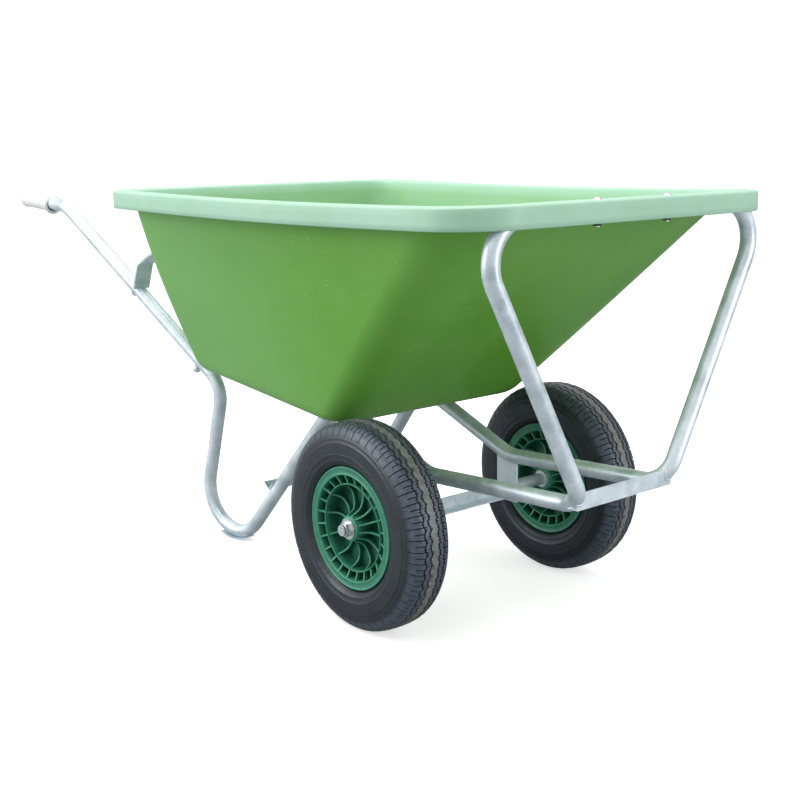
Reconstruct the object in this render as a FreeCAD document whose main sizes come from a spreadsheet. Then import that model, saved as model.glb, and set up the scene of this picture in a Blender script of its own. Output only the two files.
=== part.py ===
import FreeCAD, Part

# Twin-wheel wheelbarrow: a green moulded tray on a bent galvanised tube frame, two
# pneumatic wheels on stub axles, two legs and two handles with grips.
# Millimetres. X points forward (nose), Y to the left, Z up. The origin is on the ground
# under the middle of the overall length. Most shapes are drawn about the axle line
# (x = 0 at the axle) and every sub-part is then placed forward by axle_x.

import math
import os

import Sketcher

VECTOR = FreeCAD.Vector
doc = FreeCAD.newDocument("wheelbarrow")
sheet = doc.addObject("Spreadsheet::Sheet", "sizes")

SIZES = (
    ("axle_x", 447.5),
    # wheels
    ("tyre_diameter", 400), ("tyre_width", 96), ("tread_depth", 7), ("tyre_wall", 8),
    ("crown_sheet", 16), ("shoulder_inset", 5), ("belly_rise", 32), ("bead_inset", 5.5),
    ("belly_arc", 60), ("sidewall_arc", 110), ("shoulder_arc", 22), ("lining_arc", 50),
    ("tread_edge", 17), ("groove_inner", 6.5), ("groove_outer", 11.5), ("groove_draft", 1),
    ("lining_shoulder", 22), ("bead_toe", 3), ("bead_height", 12),
    ("inner_tube_radius", 35), ("inner_tube_skin", 2.5),
    ("bead_radius", 101.5), ("wheel_track", 518),
    ("flange_radius", 117.3), ("rim_width", 79), ("rim_sheet", 2.6), ("web_sheet", 6),
    ("flange_depth", 15), ("flange_sheet", 4), ("flange_edge", 1.5), ("ring_inset", 6),
    ("ring_radius", 83.5), ("ring_half_sheet", 1.3), ("hub_radius", 24), ("hub_flare", 3),
    ("hub_length", 79), ("rib_sheet", 3.6), ("rib_sink", 3), ("rib_dish", 7),
    ("rib_inner_run", 16), ("rib_outer_run", 18), ("rib_step", 5), ("rib_hub_arc", 40),
    ("rib_middle_arc", 60), ("rib_ring_arc", 30),
    ("hub_ribs", 12), ("bush_radius", 13), ("running_gap", 0.06),
    ("valve_radius", 4), ("valve_tip_radius", 68), ("valve_offset", 17),
    ("valve_cap_length", 14), ("valve_cap_lap", 2),
    # axle
    ("journal_radius", 10), ("stub_radius", 12.5), ("collar_radius", 17.6),
    ("washer_radius", 19.5), ("washer_sheet", 3), ("nut_flats", 24), ("nut_height", 15),
    ("thread_radius", 8), ("thread_short", 2), ("thread_gap", 0.1),
    ("plate_sheet", 6), ("plate_width", 54), ("plate_lead", 5), ("plate_drop", 24),
    ("angle_leg", 30), ("small_angle_leg", 25), ("angle_sheet", 3),
    ("axle_angle_rise", 13), ("axle_angle_back", 2),
    # frame tube
    ("tube_radius", 15), ("tube_wall", 2), ("rail_half_gap", 109.5),
    ("rail_rear_x", 12), ("rail_rear_height", 272.5), ("rail_rise", 23),
    ("hoop_joint_x", 62), ("hoop_x", 408), ("hoop_spread", 0.54),
    ("hoop_bend", 70), ("foot_bend", 50), ("rail_bend", 85), ("saddle_bend", 80),
    ("saddle_x", -270), ("saddle_half_gap", 115),
    ("leg_corner_x", -821), ("leg_corner_half_gap", 178), ("leg_bend", 92),
    ("haunch_x", -643), ("haunch_half_gap", 165), ("haunch_bend", 75),
    ("handle_x", -1098), ("handle_half_gap", 305), ("handle_height", 757),
    ("handle_bend", 60), ("handle_end_x", -1322), ("handle_end_height", 772),
    ("skid_sheet", 3), ("skid_width", 30), ("skid_spread", 46),
    # tray
    ("rim_height", 809), ("skirt_depth", 37), ("tray_sheet", 5), ("skirt_sheet", 4),
    ("mouth_front_x", 388), ("mouth_rear_x", -692), ("mouth_half_width", 360),
    ("mouth_front_round", 100), ("mouth_rear_round", 45),
    ("rim_front_x", 433), ("rim_rear_x", -725), ("rim_half_width", 395),
    ("rim_front_round", 112), ("rim_rear_round", 66), ("rim_edge_round", 3.5),
    ("floor_front_x", -98), ("floor_rear_x", -632), ("floor_half_width", 252),
    ("floor_front_round", 62), ("floor_rear_round", 55),
    ("floor_front_height", 366), ("floor_rise", 48), ("floor_edge_round", 30),
    # fittings
    ("bolt_radius", 4), ("hole_gap", 0.2), ("seat_gap", 0.2),
    ("grip_radius", 18.5), ("grip_collar", 23.5), ("grip_length", 150), ("grip_end", 5),
    ("grip_collar_length", 12), ("grip_taper", 14), ("grip_end_round", 6),
    ("strap_width", 40), ("strap_sheet", 4), ("strap_half_gap", 240),
    ("strap_heel", 24), ("strap_toe", 18), ("strap_rise", 62), ("strap_foot", 112),
    ("strap_lap", 48), ("wall_bolt_drop", 86), ("washer_face", 1.2),
    ("rim_bolt_half_gap", 89), ("brace_height", 128),
)


class Dim:
    """A length with its value and the text that binds it to the sheet."""

    def __init__(self, text, value):
        self.text = text
        self.value = float(value)

    def joined(self, sign, other, value, swap=False):
        other_text = other.text if isinstance(other, Dim) else repr(float(other))
        pair = (other_text, self.text) if swap else (self.text, other_text)
        return Dim("({} {} {})".format(pair[0], sign, pair[1]), value)

    def __add__(self, other):
        return self.joined("+", other, self.value + float(other))

    def __radd__(self, other):
        return self.joined("+", other, float(other) + self.value, True)

    def __sub__(self, other):
        return self.joined("-", other, self.value - float(other))

    def __rsub__(self, other):
        return self.joined("-", other, float(other) - self.value, True)

    def __mul__(self, other):
        return self.joined("*", other, self.value * float(other))

    def __rmul__(self, other):
        return self.joined("*", other, float(other) * self.value, True)

    def __truediv__(self, other):
        return self.joined("/", other, self.value / float(other))

    def __neg__(self):
        return self * -1

    def __float__(self):
        return self.value


def fill_sheet():
    """Write the driving sizes in the sheet and return them by name."""
    dims = {}
    for row, (alias, value) in enumerate(SIZES, start=1):
        sheet.set("A{}".format(row), alias)
        sheet.set("B{}".format(row), str(value))
        sheet.setAlias("B{}".format(row), alias)
        dims[alias] = Dim("sizes." + alias, value)
    doc.recompute()
    return dims


D = fill_sheet()


def num(name):
    return D[name].value


def bind(target, path, value):
    """Tie one property to the sheet, or leave it at a plain number."""
    if isinstance(value, Dim):
        target.setExpression(path, value.text)


def place(target, x=0.0, y=0.0, z=0.0, rotation=None):
    """Put an object at a point measured from the axle line, tied to the sheet."""
    shift = D["axle_x"] + x
    spot = VECTOR(float(shift), float(y), float(z))
    target.Placement = FreeCAD.Placement(spot, rotation or FreeCAD.Rotation())
    bind(target, "Placement.Base.x", shift)
    bind(target, "Placement.Base.y", y)
    bind(target, "Placement.Base.z", z)
    return target


# ---------------------------------------------------------------- sketch helpers

def new_body(label):
    body = doc.addObject("PartDesign::Body", label)
    body.Label = label
    return body


def new_sketch(body, name, role="XY_Plane", height=None, tilt=None):
    """A sketch on one of the body's origin planes, raised and tilted about Y if asked."""
    sketch = body.newObject("Sketcher::SketchObject", name)
    plane = [f for f in body.Origin.OriginFeatures if f.Role == role][0]
    sketch.AttachmentSupport = (plane, [""])
    sketch.MapMode = "FlatFace"
    if height is not None:
        turn = FreeCAD.Rotation(VECTOR(0, 1, 0), tilt or 0.0)
        lift = VECTOR(0, 0, float(height))
        sketch.AttachmentOffset = FreeCAD.Placement(lift, turn)
        bind(sketch, "AttachmentOffset.Base.z", height)
    return sketch


def pin_point(sketch, index, end, x, y):
    """Hold one end of a sketch edge at x, y from the origin."""
    for kind, value in (("DistanceX", x), ("DistanceY", y)):
        number = sketch.addConstraint(
            Sketcher.Constraint(kind, -1, 1, index, end, float(value)))
        bind(sketch, "Constraints[{}]".format(number), value)


def arc_centre(start, end, radius, turn):
    """Centre of the arc between two points that turns left (1) or right (-1)."""
    chord = end - start
    half = chord.Length / 2
    side = VECTOR(-chord.y, chord.x, 0).normalize() * turn
    return start + chord * 0.5 + side * math.sqrt(max(radius * radius - half * half, 0))


def draw_loop(sketch, start, steps):
    """Closed outline: each step is (x, y) for a line or (x, y, radius, turn) for an arc."""
    count = len(steps)
    ends = [VECTOR(float(s[0]), float(s[1]), 0) for s in steps]
    here = VECTOR(float(start[0]), float(start[1]), 0)
    joins = []
    for step, there in zip(steps, ends):
        if len(step) == 2:
            index = sketch.addGeometry(Part.LineSegment(here, there), False)
            joins.append((index, 1, 2))
        else:
            radius, turn = float(step[2]), step[3]
            centre = arc_centre(here, there, radius, turn)
            circle = Part.Circle(centre, VECTOR(0, 0, 1), radius)
            begin, finish = (here, there) if turn > 0 else (there, here)
            a = math.atan2(begin.y - centre.y, begin.x - centre.x)
            b = math.atan2(finish.y - centre.y, finish.x - centre.x)
            index = sketch.addGeometry(Part.ArcOfCircle(circle, a, b), False)
            joins.append((index, 1, 2) if turn > 0 else (index, 2, 1))
        here = there
    for i in range(count):
        index, _, last = joins[i]
        following = joins[(i + 1) % count]
        sketch.addConstraint(
            Sketcher.Constraint("Coincident", index, last, following[0], following[1]))
        pin_point(sketch, index, last, steps[i][0], steps[i][1])
        if len(steps[i]) == 4:
            number = sketch.addConstraint(
                Sketcher.Constraint("Radius", index, float(steps[i][2])))
            bind(sketch, "Constraints[{}]".format(number), steps[i][2])


def draw_rounded_box(sketch, front, rear, half_width, front_round, rear_round):
    """Rectangle in plan with two corner radii, symmetric about Y = 0."""
    draw_loop(sketch, (rear + rear_round, -half_width), [
        (front - front_round, -half_width),
        (front, -half_width + front_round, front_round, 1),
        (front, half_width - front_round),
        (front - front_round, half_width, front_round, 1),
        (rear + rear_round, half_width),
        (rear, half_width - rear_round, rear_round, 1),
        (rear, -half_width + rear_round),
        (rear + rear_round, -half_width, rear_round, 1),
    ])


def draw_circle(sketch, x, y, radius):
    centre = VECTOR(float(x), float(y), 0)
    index = sketch.addGeometry(Part.Circle(centre, VECTOR(0, 0, 1), float(radius)), False)
    pin_point(sketch, index, 3, x, y)
    number = sketch.addConstraint(Sketcher.Constraint("Radius", index, float(radius)))
    bind(sketch, "Constraints[{}]".format(number), radius)


def pad(body, sketch, length, both_ways=False, down=False):
    feature = body.newObject("PartDesign::Pad", sketch.Name + "_pad")
    feature.Profile = sketch
    feature.Length = float(length)
    feature.Midplane = both_ways
    feature.Reversed = down
    bind(feature, "Length", length)
    return feature


def revolve(body, sketch, axis="V_Axis"):
    feature = body.newObject("PartDesign::Revolution", sketch.Name + "_turned")
    feature.Profile = sketch
    feature.ReferenceAxis = (sketch, [axis])
    feature.Angle = 360
    return feature


# ---------------------------------------------------------------- primitive helpers

def cylinder(name, radius, length, x=0.0, y=0.0, z=0.0, rotation=None):
    """Cylinder that starts at a point and runs along Z turned by the rotation."""
    piece = doc.addObject("Part::Cylinder", name)
    piece.Radius = float(radius)
    piece.Height = float(length)
    bind(piece, "Radius", radius)
    bind(piece, "Height", length)
    return place(piece, x, y, z, rotation)


def fuse(label, pieces):
    whole = doc.addObject("Part::MultiFuse", label)
    whole.Shapes = pieces
    whole.Label = label
    return whole


def cut(label, base, tool):
    whole = doc.addObject("Part::Cut", label)
    whole.Base = base
    whole.Tool = tool
    whole.Label = label
    return whole


def along(direction):
    """Rotation that takes Z to a direction."""
    return FreeCAD.Rotation(VECTOR(0, 0, 1), direction)


def group(label, shape, spots):
    """One node of separate identical solids: copies of a shape at (point, rotation)."""
    solids = []
    for point, rotation in spots:
        copy = shape.copy()
        copy.Placement = FreeCAD.Placement(point, rotation)
        solids.append(copy)
    node = doc.addObject("Part::Feature", label)
    node.Label = label
    node.Shape = Part.makeCompound(solids)
    node.Placement = FreeCAD.Placement(VECTOR(num("axle_x"), 0, 0), FreeCAD.Rotation())
    return node


def hexagon(flats, height):
    """Hexagonal prism along Z."""
    radius = flats / math.sqrt(3)
    turns = [math.radians(60 * k) for k in range(7)]
    corners = [VECTOR(radius * math.cos(t), radius * math.sin(t), 0) for t in turns]
    return Part.Face(Part.makePolygon(corners)).extrude(VECTOR(0, 0, height))


# ---------------------------------------------------------------- bent tubes

class Bend:
    """The round corner of a tube route at one point between its two neighbours."""

    def __init__(self, before, corner, after, radius):
        go_back = (before - corner).normalize()
        go_on = (after - corner).normalize()
        inner = go_back.getAngle(go_on)
        reach = radius / math.tan(inner / 2)
        middle = (go_back + go_on).normalize()
        self.radius = radius
        self.start = corner + go_back * reach
        self.end = corner + go_on * reach
        self.centre = corner + middle * (radius / math.sin(inner / 2))
        self.crown = self.centre - middle * radius
        self.normal = go_back.cross(go_on).normalize()

    def lowest(self, outer, half_width):
        """Lowest height of a band of an outer radius that is wrapped round the bend."""
        lean = abs(self.normal.z)
        return self.centre.z - outer * math.sqrt(1 - lean * lean) - half_width * lean


def bends_of(points, radii):
    return [Bend(points[i], points[i + 1], points[i + 2], radii[i])
            for i in range(len(radii))]


def route_wire(points, radii):
    """Straight runs joined by tangent arcs."""
    edges = []
    here = points[0]
    for bend in bends_of(points, radii):
        edges.append(Part.LineSegment(here, bend.start).toShape())
        edges.append(Part.Arc(bend.start, bend.crown, bend.end).toShape())
        here = bend.end
    edges.append(Part.LineSegment(here, points[-1]).toShape())
    return Part.Wire(edges)


def sweep_round(name, path, radius, start, direction):
    """Round bar of one radius along a path object."""
    ring = doc.addObject("Part::Circle", name + "_section")
    ring.Radius = float(radius)
    bind(ring, "Radius", radius)
    ring.Placement = FreeCAD.Placement(start, along(direction))
    bar = doc.addObject("Part::Sweep", name)
    bar.Sections = [ring]
    bar.Spine = (path, ["Edge{}".format(k + 1) for k in range(len(path.Shape.Edges))])
    bar.Solid = True
    bar.Frenet = False
    return bar


def bent_tube(label, points, radii, drills=()):
    """Hollow tube along a route, drilled through by (point, direction, radius, length)."""
    path = doc.addObject("Part::Feature", label + "_route")
    path.Shape = route_wire(points, radii)
    direction = points[1] - points[0]
    outer = sweep_round(label + "_outer", path, D["tube_radius"], points[0], direction)
    bore = D["tube_radius"] - D["tube_wall"]
    inner = sweep_round(label + "_bore", path, bore, points[0], direction)
    pipe = cut(label + "_pipe", outer, inner)
    whole = pipe
    for number, (point, heading, radius, length) in enumerate(drills):
        drill = doc.addObject("Part::Cylinder", "{}_drill_{}".format(label, number))
        drill.Radius = float(radius)
        bind(drill, "Radius", radius)
        drill.Height = float(length)
        start = point - heading.normalize() * (length / 2)
        drill.Placement = FreeCAD.Placement(start, along(heading))
        last = number == len(drills) - 1
        whole = cut(label if last else "{}_cut_{}".format(label, number), whole, drill)
    whole.Placement = FreeCAD.Placement(VECTOR(num("axle_x"), 0, 0), FreeCAD.Rotation())
    bind(whole, "Placement.Base.x", D["axle_x"])
    return whole


# ---------------------------------------------------------------- layout of the frame

FLOOR_SLOPE = num("floor_rise") / (num("floor_front_x") - num("floor_rear_x"))
FLOOR_TILT = math.degrees(math.atan(FLOOR_SLOPE))
FLOOR_UP = VECTOR(math.sin(math.radians(FLOOR_TILT)), 0, math.cos(math.radians(FLOOR_TILT)))


def floor_height(x):
    """Height of the underside of the tray floor."""
    return num("floor_front_height") + (num("floor_front_x") - x) * FLOOR_SLOPE


def rail_height(x):
    slope = num("rail_rise") / (num("hoop_x") - num("rail_rear_x"))
    return num("rail_rear_height") + (x - num("rail_rear_x")) * slope


SETTLE_ROUNDS = 12


def crown_gap(bend):
    """How far the top of a bend is under the tray floor."""
    tube = num("tube_radius") + num("seat_gap")
    head = bend.centre - VECTOR(0, 0, floor_height(bend.centre.x))
    return -head.z * FLOOR_UP.z - bend.radius - tube


def side_route():
    """Points of the left side tube, from the joint in the rail back to the handle end.

    The two bends under the tray are raised until they touch its floor, and the corner
    of the leg is set so that the skid under its bend stands on the ground.
    """
    points = [
        VECTOR(num("hoop_joint_x"), num("rail_half_gap"), rail_height(num("hoop_joint_x"))),
        VECTOR(num("rail_rear_x"), num("rail_half_gap"), num("rail_rear_height")),
        VECTOR(num("saddle_x"), num("saddle_half_gap"), floor_height(num("saddle_x"))),
        VECTOR(num("leg_corner_x"), num("leg_corner_half_gap"), -num("leg_bend") * 3),
        VECTOR(num("haunch_x"), num("haunch_half_gap"), floor_height(num("haunch_x"))),
        VECTOR(num("handle_x"), num("handle_half_gap"), num("handle_height")),
        VECTOR(num("handle_end_x"), num("handle_half_gap"), num("handle_end_height")),
    ]
    radii = [num("rail_bend"), num("saddle_bend"), num("leg_bend"), num("haunch_bend"),
             num("handle_bend")]
    band = num("leg_bend") + num("tube_radius") + num("skid_sheet")
    for _ in range(SETTLE_ROUNDS):
        bends = bends_of(points, radii)
        points[2].z += crown_gap(bends[1])
        points[4].z += crown_gap(bends[3])
        points[3].z -= bends[2].lowest(band, num("skid_width") / 2)
    return points, radii


SIDE_POINTS, SIDE_RADII = side_route()
SIDE_BENDS = bends_of(SIDE_POINTS, SIDE_RADII)
SADDLE, LEG_FOOT, HAUNCH = SIDE_BENDS[1], SIDE_BENDS[2], SIDE_BENDS[3]


def crown_under_floor(bend):
    """Point of the floor's underside straight above a bend's centre."""
    return bend.centre + FLOOR_UP * (bend.radius + num("tube_radius") + num("seat_gap"))


def mirrored(point, side):
    return VECTOR(point.x, point.y * side, point.z)


def hoop_top():
    return num("rim_height") - num("tray_sheet") - num("seat_gap") - num("tube_radius")


SIDES = (("left", 1), ("right", -1))
DOWN = VECTOR(0, 0, -1)
UP = VECTOR(0, 0, 1)
DRILL_LENGTH = 4 * num("tube_radius")


# ---------------------------------------------------------------- frame

def make_side_tubes():
    """Side tubes: the right one is bent and drilled, the left one is its mirror image."""
    hole = D["bolt_radius"] + D["hole_gap"]
    points = [mirrored(p, -1) for p in SIDE_POINTS]
    drills = []
    for bend in (SADDLE, HAUNCH):
        middle = mirrored(crown_under_floor(bend), -1) - FLOOR_UP * num("tube_radius")
        drills.append((middle, VECTOR(FLOOR_UP), hole, DRILL_LENGTH))
    spot, heading = strap_bolt(-1)
    drills.append((spot, heading, hole, DRILL_LENGTH))
    right = bent_tube("side_tube_right", points, SIDE_RADII, drills)
    left = doc.addObject("Part::Mirroring", "side_tube_left")
    left.Label = "side_tube_left"
    left.Source = right
    left.Normal = VECTOR(0, 1, 0)


def make_front_hoop():
    """Front hoop: both rail ends, the uprights and the bar under the tray rim."""
    top = hoop_top()
    low = rail_height(num("hoop_x"))
    wide = num("rail_half_gap") + num("hoop_spread") * (top - low)
    half = [
        VECTOR(num("hoop_joint_x"), num("rail_half_gap"), rail_height(num("hoop_joint_x"))),
        VECTOR(num("hoop_x"), num("rail_half_gap"), low),
        VECTOR(num("hoop_x"), wide, top),
    ]
    points = half + [mirrored(p, -1) for p in reversed(half)]
    radii = [num("foot_bend"), num("hoop_bend"), num("hoop_bend"), num("foot_bend")]
    hole = D["bolt_radius"] + D["hole_gap"]
    drills = []
    for _, sign in SIDES:
        spot = VECTOR(num("hoop_x"), sign * num("rim_bolt_half_gap"), top)
        drills.append((spot, VECTOR(0, 0, 1), hole, DRILL_LENGTH))
    bent_tube("front_hoop", points, radii, drills)


def make_tipping_bar():
    """Angle bar across the foot of the hoop, notched round both tubes."""
    body = new_body("tipping_bar_stock")
    leg, sheet_ = D["angle_leg"], D["angle_sheet"]
    sketch = new_sketch(body, "tipping_section", "XZ_Plane")
    draw_loop(sketch, (0, 0), [
        (-leg, 0), (-leg, sheet_), (-sheet_, sheet_), (-sheet_, leg), (0, leg), (0, 0)])
    pad(body, sketch, D["rail_half_gap"] * 2 + D["tube_radius"] * 2, both_ways=True)
    low = rail_height(num("hoop_x"))
    place(body, D["hoop_x"], 0, low - num("tube_radius") / 3)
    notch = doc.addObject("Part::Feature", "tipping_notch")
    blank = doc.getObject("front_hoop_outer")
    doc.recompute()
    notch.Shape = blank.Shape.copy()
    notch.Placement = FreeCAD.Placement(VECTOR(num("axle_x"), 0, 0), FreeCAD.Rotation())
    cut("tipping_bar", body, notch)


def make_axle_plates():
    """Plate under each rail that carries a stub axle and an end of the cross angle."""
    axle = num("tyre_diameter") / 2
    for side, sign in SIDES:
        body = new_body("axle_plate_stock_" + side)
        sketch = new_sketch(body, "plate_outline_" + side, "XZ_Plane")
        half = D["plate_width"] / 2
        low = axle - num("plate_drop")
        rear, front = D["plate_lead"] - half, D["plate_lead"] + half
        top = num("rail_rear_height")
        draw_loop(sketch, (rear, low), [(front, low), (front, top), (rear, top), (rear, low)])
        pad(body, sketch, D["plate_sheet"], both_ways=True)
        place(body, 0, D["rail_half_gap"] * sign, 0)
        notch = doc.addObject("Part::Feature", "plate_notch_" + side)
        rail = doc.getObject("side_tube_right_outer")
        nose = doc.getObject("front_hoop_outer")
        doc.recompute()
        solid = rail.Shape.fuse(nose.Shape)
        if side == "left":
            solid = solid.mirror(VECTOR(0, 0, 0), VECTOR(0, 1, 0))
        notch.Shape = solid
        notch.Placement = FreeCAD.Placement(VECTOR(num("axle_x"), 0, 0), FreeCAD.Rotation())
        cut("axle_plate_" + side, body, notch)


def make_axle_angle():
    """Cross angle between the axle plates, its flange forward at the bottom."""
    body = new_body("axle_angle")
    leg, upright, sheet_ = D["angle_leg"], D["small_angle_leg"], D["angle_sheet"]
    sketch = new_sketch(body, "axle_angle_section", "XZ_Plane")
    draw_loop(sketch, (0, 0), [
        (leg, 0), (leg, sheet_), (sheet_, sheet_), (sheet_, upright), (0, upright), (0, 0)])
    pad(body, sketch, D["rail_half_gap"] * 2 - D["plate_sheet"], both_ways=True)
    place(body, -D["axle_angle_back"], 0, D["tyre_diameter"] / 2 + D["axle_angle_rise"] - upright)


def make_stub_axles():
    """Stub axle from each plate through the wheel hub, with its threaded end."""
    axle = D["tyre_diameter"] / 2
    start = D["rail_half_gap"] + D["plate_sheet"] / 2
    hub_in = (D["wheel_track"] - D["hub_length"]) / 2
    hub_out = (D["wheel_track"] + D["hub_length"]) / 2
    collar = D["washer_sheet"] * 2
    for side, sign in SIDES:
        turn = along(VECTOR(0, sign, 0))
        stem = cylinder("stub_stem_" + side, D["stub_radius"],
                        hub_in - start - D["seat_gap"], 0, start * sign, axle, turn)
        ring = cylinder("stub_collar_" + side, D["collar_radius"], collar,
                        0, (hub_in - collar - D["seat_gap"]) * sign, axle, turn)
        journal = cylinder("stub_journal_" + side, D["journal_radius"],
                           D["hub_length"] + D["seat_gap"] * 2,
                           0, (hub_in - D["seat_gap"]) * sign, axle, turn)
        thread = cylinder("stub_thread_" + side, D["thread_radius"],
                          D["washer_sheet"] + D["nut_height"] - D["thread_short"],
                          0, (hub_out + D["seat_gap"]) * sign, axle, turn)
        fuse("stub_axle_" + side, [stem, ring, journal, thread])


def make_axle_ends():
    """Washer and domed hexagon nut outside each hub."""
    axle = num("tyre_diameter") / 2
    seat = (num("wheel_track") + num("hub_length")) / 2 + num("seat_gap")
    bore = num("thread_radius") + num("thread_gap")
    washer = Part.makeCylinder(num("washer_radius"), num("washer_sheet"))
    washer = washer.cut(Part.makeCylinder(bore, num("washer_sheet")))
    flats, height = num("nut_flats"), num("nut_height")
    dome_radius, dome_centre = flats * 0.62, height * 0.28
    cap_radius, hexagon_height = flats * 0.44, height * 0.62
    dome = Part.makeSphere(dome_radius, VECTOR(0, 0, dome_centre))
    prism = hexagon(flats, hexagon_height)
    cap = Part.makeCylinder(cap_radius, height).common(dome)
    nut = prism.fuse(cap).removeSplitter()
    nut = nut.cut(Part.makeCylinder(bore, height - num("thread_short")))
    spots_washer = []
    spots_nut = []
    for _, sign in SIDES:
        turn = along(VECTOR(0, sign, 0))
        spots_washer.append((VECTOR(0, sign * seat, axle), turn))
        spots_nut.append((VECTOR(0, sign * (seat + num("washer_sheet")), axle), turn))
    group("axle_washers", washer, spots_washer)
    group("axle_nuts", nut, spots_nut)


def make_skids():
    """Curved wear strip under the bend of each leg."""
    inner = num("leg_bend") + num("tube_radius")
    for side, sign in SIDES:
        centre = mirrored(LEG_FOOT.centre, sign)
        normal = mirrored(LEG_FOOT.normal, sign)
        if normal.y < 0:
            normal = normal * -1
        start = centre - normal * (num("skid_width") / 2)
        spread = num("skid_spread")
        turn = along(normal)
        lowest = turn.inverted().multVec(VECTOR(0, 0, -1))
        heading = math.degrees(math.atan2(lowest.y, lowest.x))
        spin = FreeCAD.Rotation(VECTOR(0, 0, 1), heading - spread / 2)
        ends = []
        for name, radius in (("skid_outer_", inner + num("skid_sheet")), ("skid_inner_", inner)):
            piece = doc.addObject("Part::Cylinder", name + side)
            piece.Radius = radius
            bind(piece, "Radius", D["leg_bend"] + D["tube_radius"]
                 + (D["skid_sheet"] if name == "skid_outer_" else 0.0))
            piece.Height = num("skid_width")
            bind(piece, "Height", D["skid_width"])
            piece.Angle = spread
            bind(piece, "Angle", D["skid_spread"])
            shift = VECTOR(num("axle_x"), 0, 0)
            piece.Placement = FreeCAD.Placement(start + shift, turn.multiply(spin))
            ends.append(piece)
        cut("skid_" + side, ends[0], ends[1])


def leg_point(height):
    """Point of the left leg's front run at a height."""
    a, b = SADDLE.end, LEG_FOOT.start
    share = (a.z - height) / (a.z - b.z)
    return a + (b - a) * share


def make_leg_brace():
    """Angle bar behind the front runs of the legs, square to them."""
    spot = leg_point(num("brace_height"))
    run = (LEG_FOOT.start - SADDLE.end)
    slope = math.degrees(math.atan2(-run.x, -run.z))
    body = new_body("leg_brace")
    leg, sheet_ = D["small_angle_leg"], D["angle_sheet"]
    sketch = new_sketch(body, "brace_section", "XZ_Plane")
    draw_loop(sketch, (0, 0), [
        (0, leg), (-sheet_, leg), (-sheet_, sheet_), (-leg, sheet_), (-leg, 0), (0, 0)])
    pad(body, sketch, spot.y * 2 + num("tube_radius"), both_ways=True)
    turn = FreeCAD.Rotation(VECTOR(0, 1, 0), slope)
    back = turn.multVec(VECTOR(-(num("tube_radius") + num("seat_gap")), 0, 0))
    place(body, spot.x + back.x, 0, spot.z + back.z, turn)


# ---------------------------------------------------------------- handles

def handle_point(half_gap):
    """Point of the left handle's sloping run at a distance from the middle plane."""
    a, b = SIDE_POINTS[4], SIDE_POINTS[5]
    share = (half_gap - a.y) / (b.y - a.y)
    return a + (b - a) * share


def handle_up():
    """Direction square to the handle's sloping run, upwards, in the X-Z plane."""
    run = SIDE_POINTS[5] - SIDE_POINTS[4]
    flat = VECTOR(run.x, 0, run.z).normalize()
    return VECTOR(flat.z, 0, -flat.x)


def strap_bolt(sign):
    """Middle and direction of the bolt that holds a strap on its handle."""
    spot = handle_point(num("strap_half_gap"))
    return mirrored(spot, sign), handle_up()


def rear_wall_x(height):
    """X of the tray's rear wall, outside, at a height."""
    low = floor_height(num("floor_rear_x"))
    share = (height - low) / (num("rim_height") - low)
    return num("floor_rear_x") + (num("mouth_rear_x") - num("floor_rear_x")) * share


def make_grips():
    """Plastic grip over the straight end of each handle, closed at its back."""
    a, b = SIDE_BENDS[4].end, SIDE_POINTS[6]
    bore = D["tube_radius"] + D["seat_gap"]
    length, lip = D["grip_length"], D["grip_collar_length"]
    end_round = D["grip_end_round"]
    for side, sign in SIDES:
        body = new_body("grip_" + side)
        sketch = new_sketch(body, "grip_section_" + side, "XZ_Plane")
        draw_loop(sketch, (0, length), [
            (0, length + D["grip_end"]),
            (D["grip_radius"] - end_round, length + D["grip_end"]),
            (D["grip_radius"], length + D["grip_end"] - end_round, end_round, -1),
            (D["grip_radius"], lip + D["grip_taper"]),
            (D["grip_collar"], lip),
            (D["grip_collar"], 0),
            (bore, 0),
            (bore, length),
            (0, length),
        ])
        revolve(body, sketch)
        direction = mirrored(b - a, sign).normalize()
        start = mirrored(b, sign) - direction * (num("grip_length") - num("seat_gap"))
        place(body, start.x, start.y, start.z, along(direction))


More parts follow.
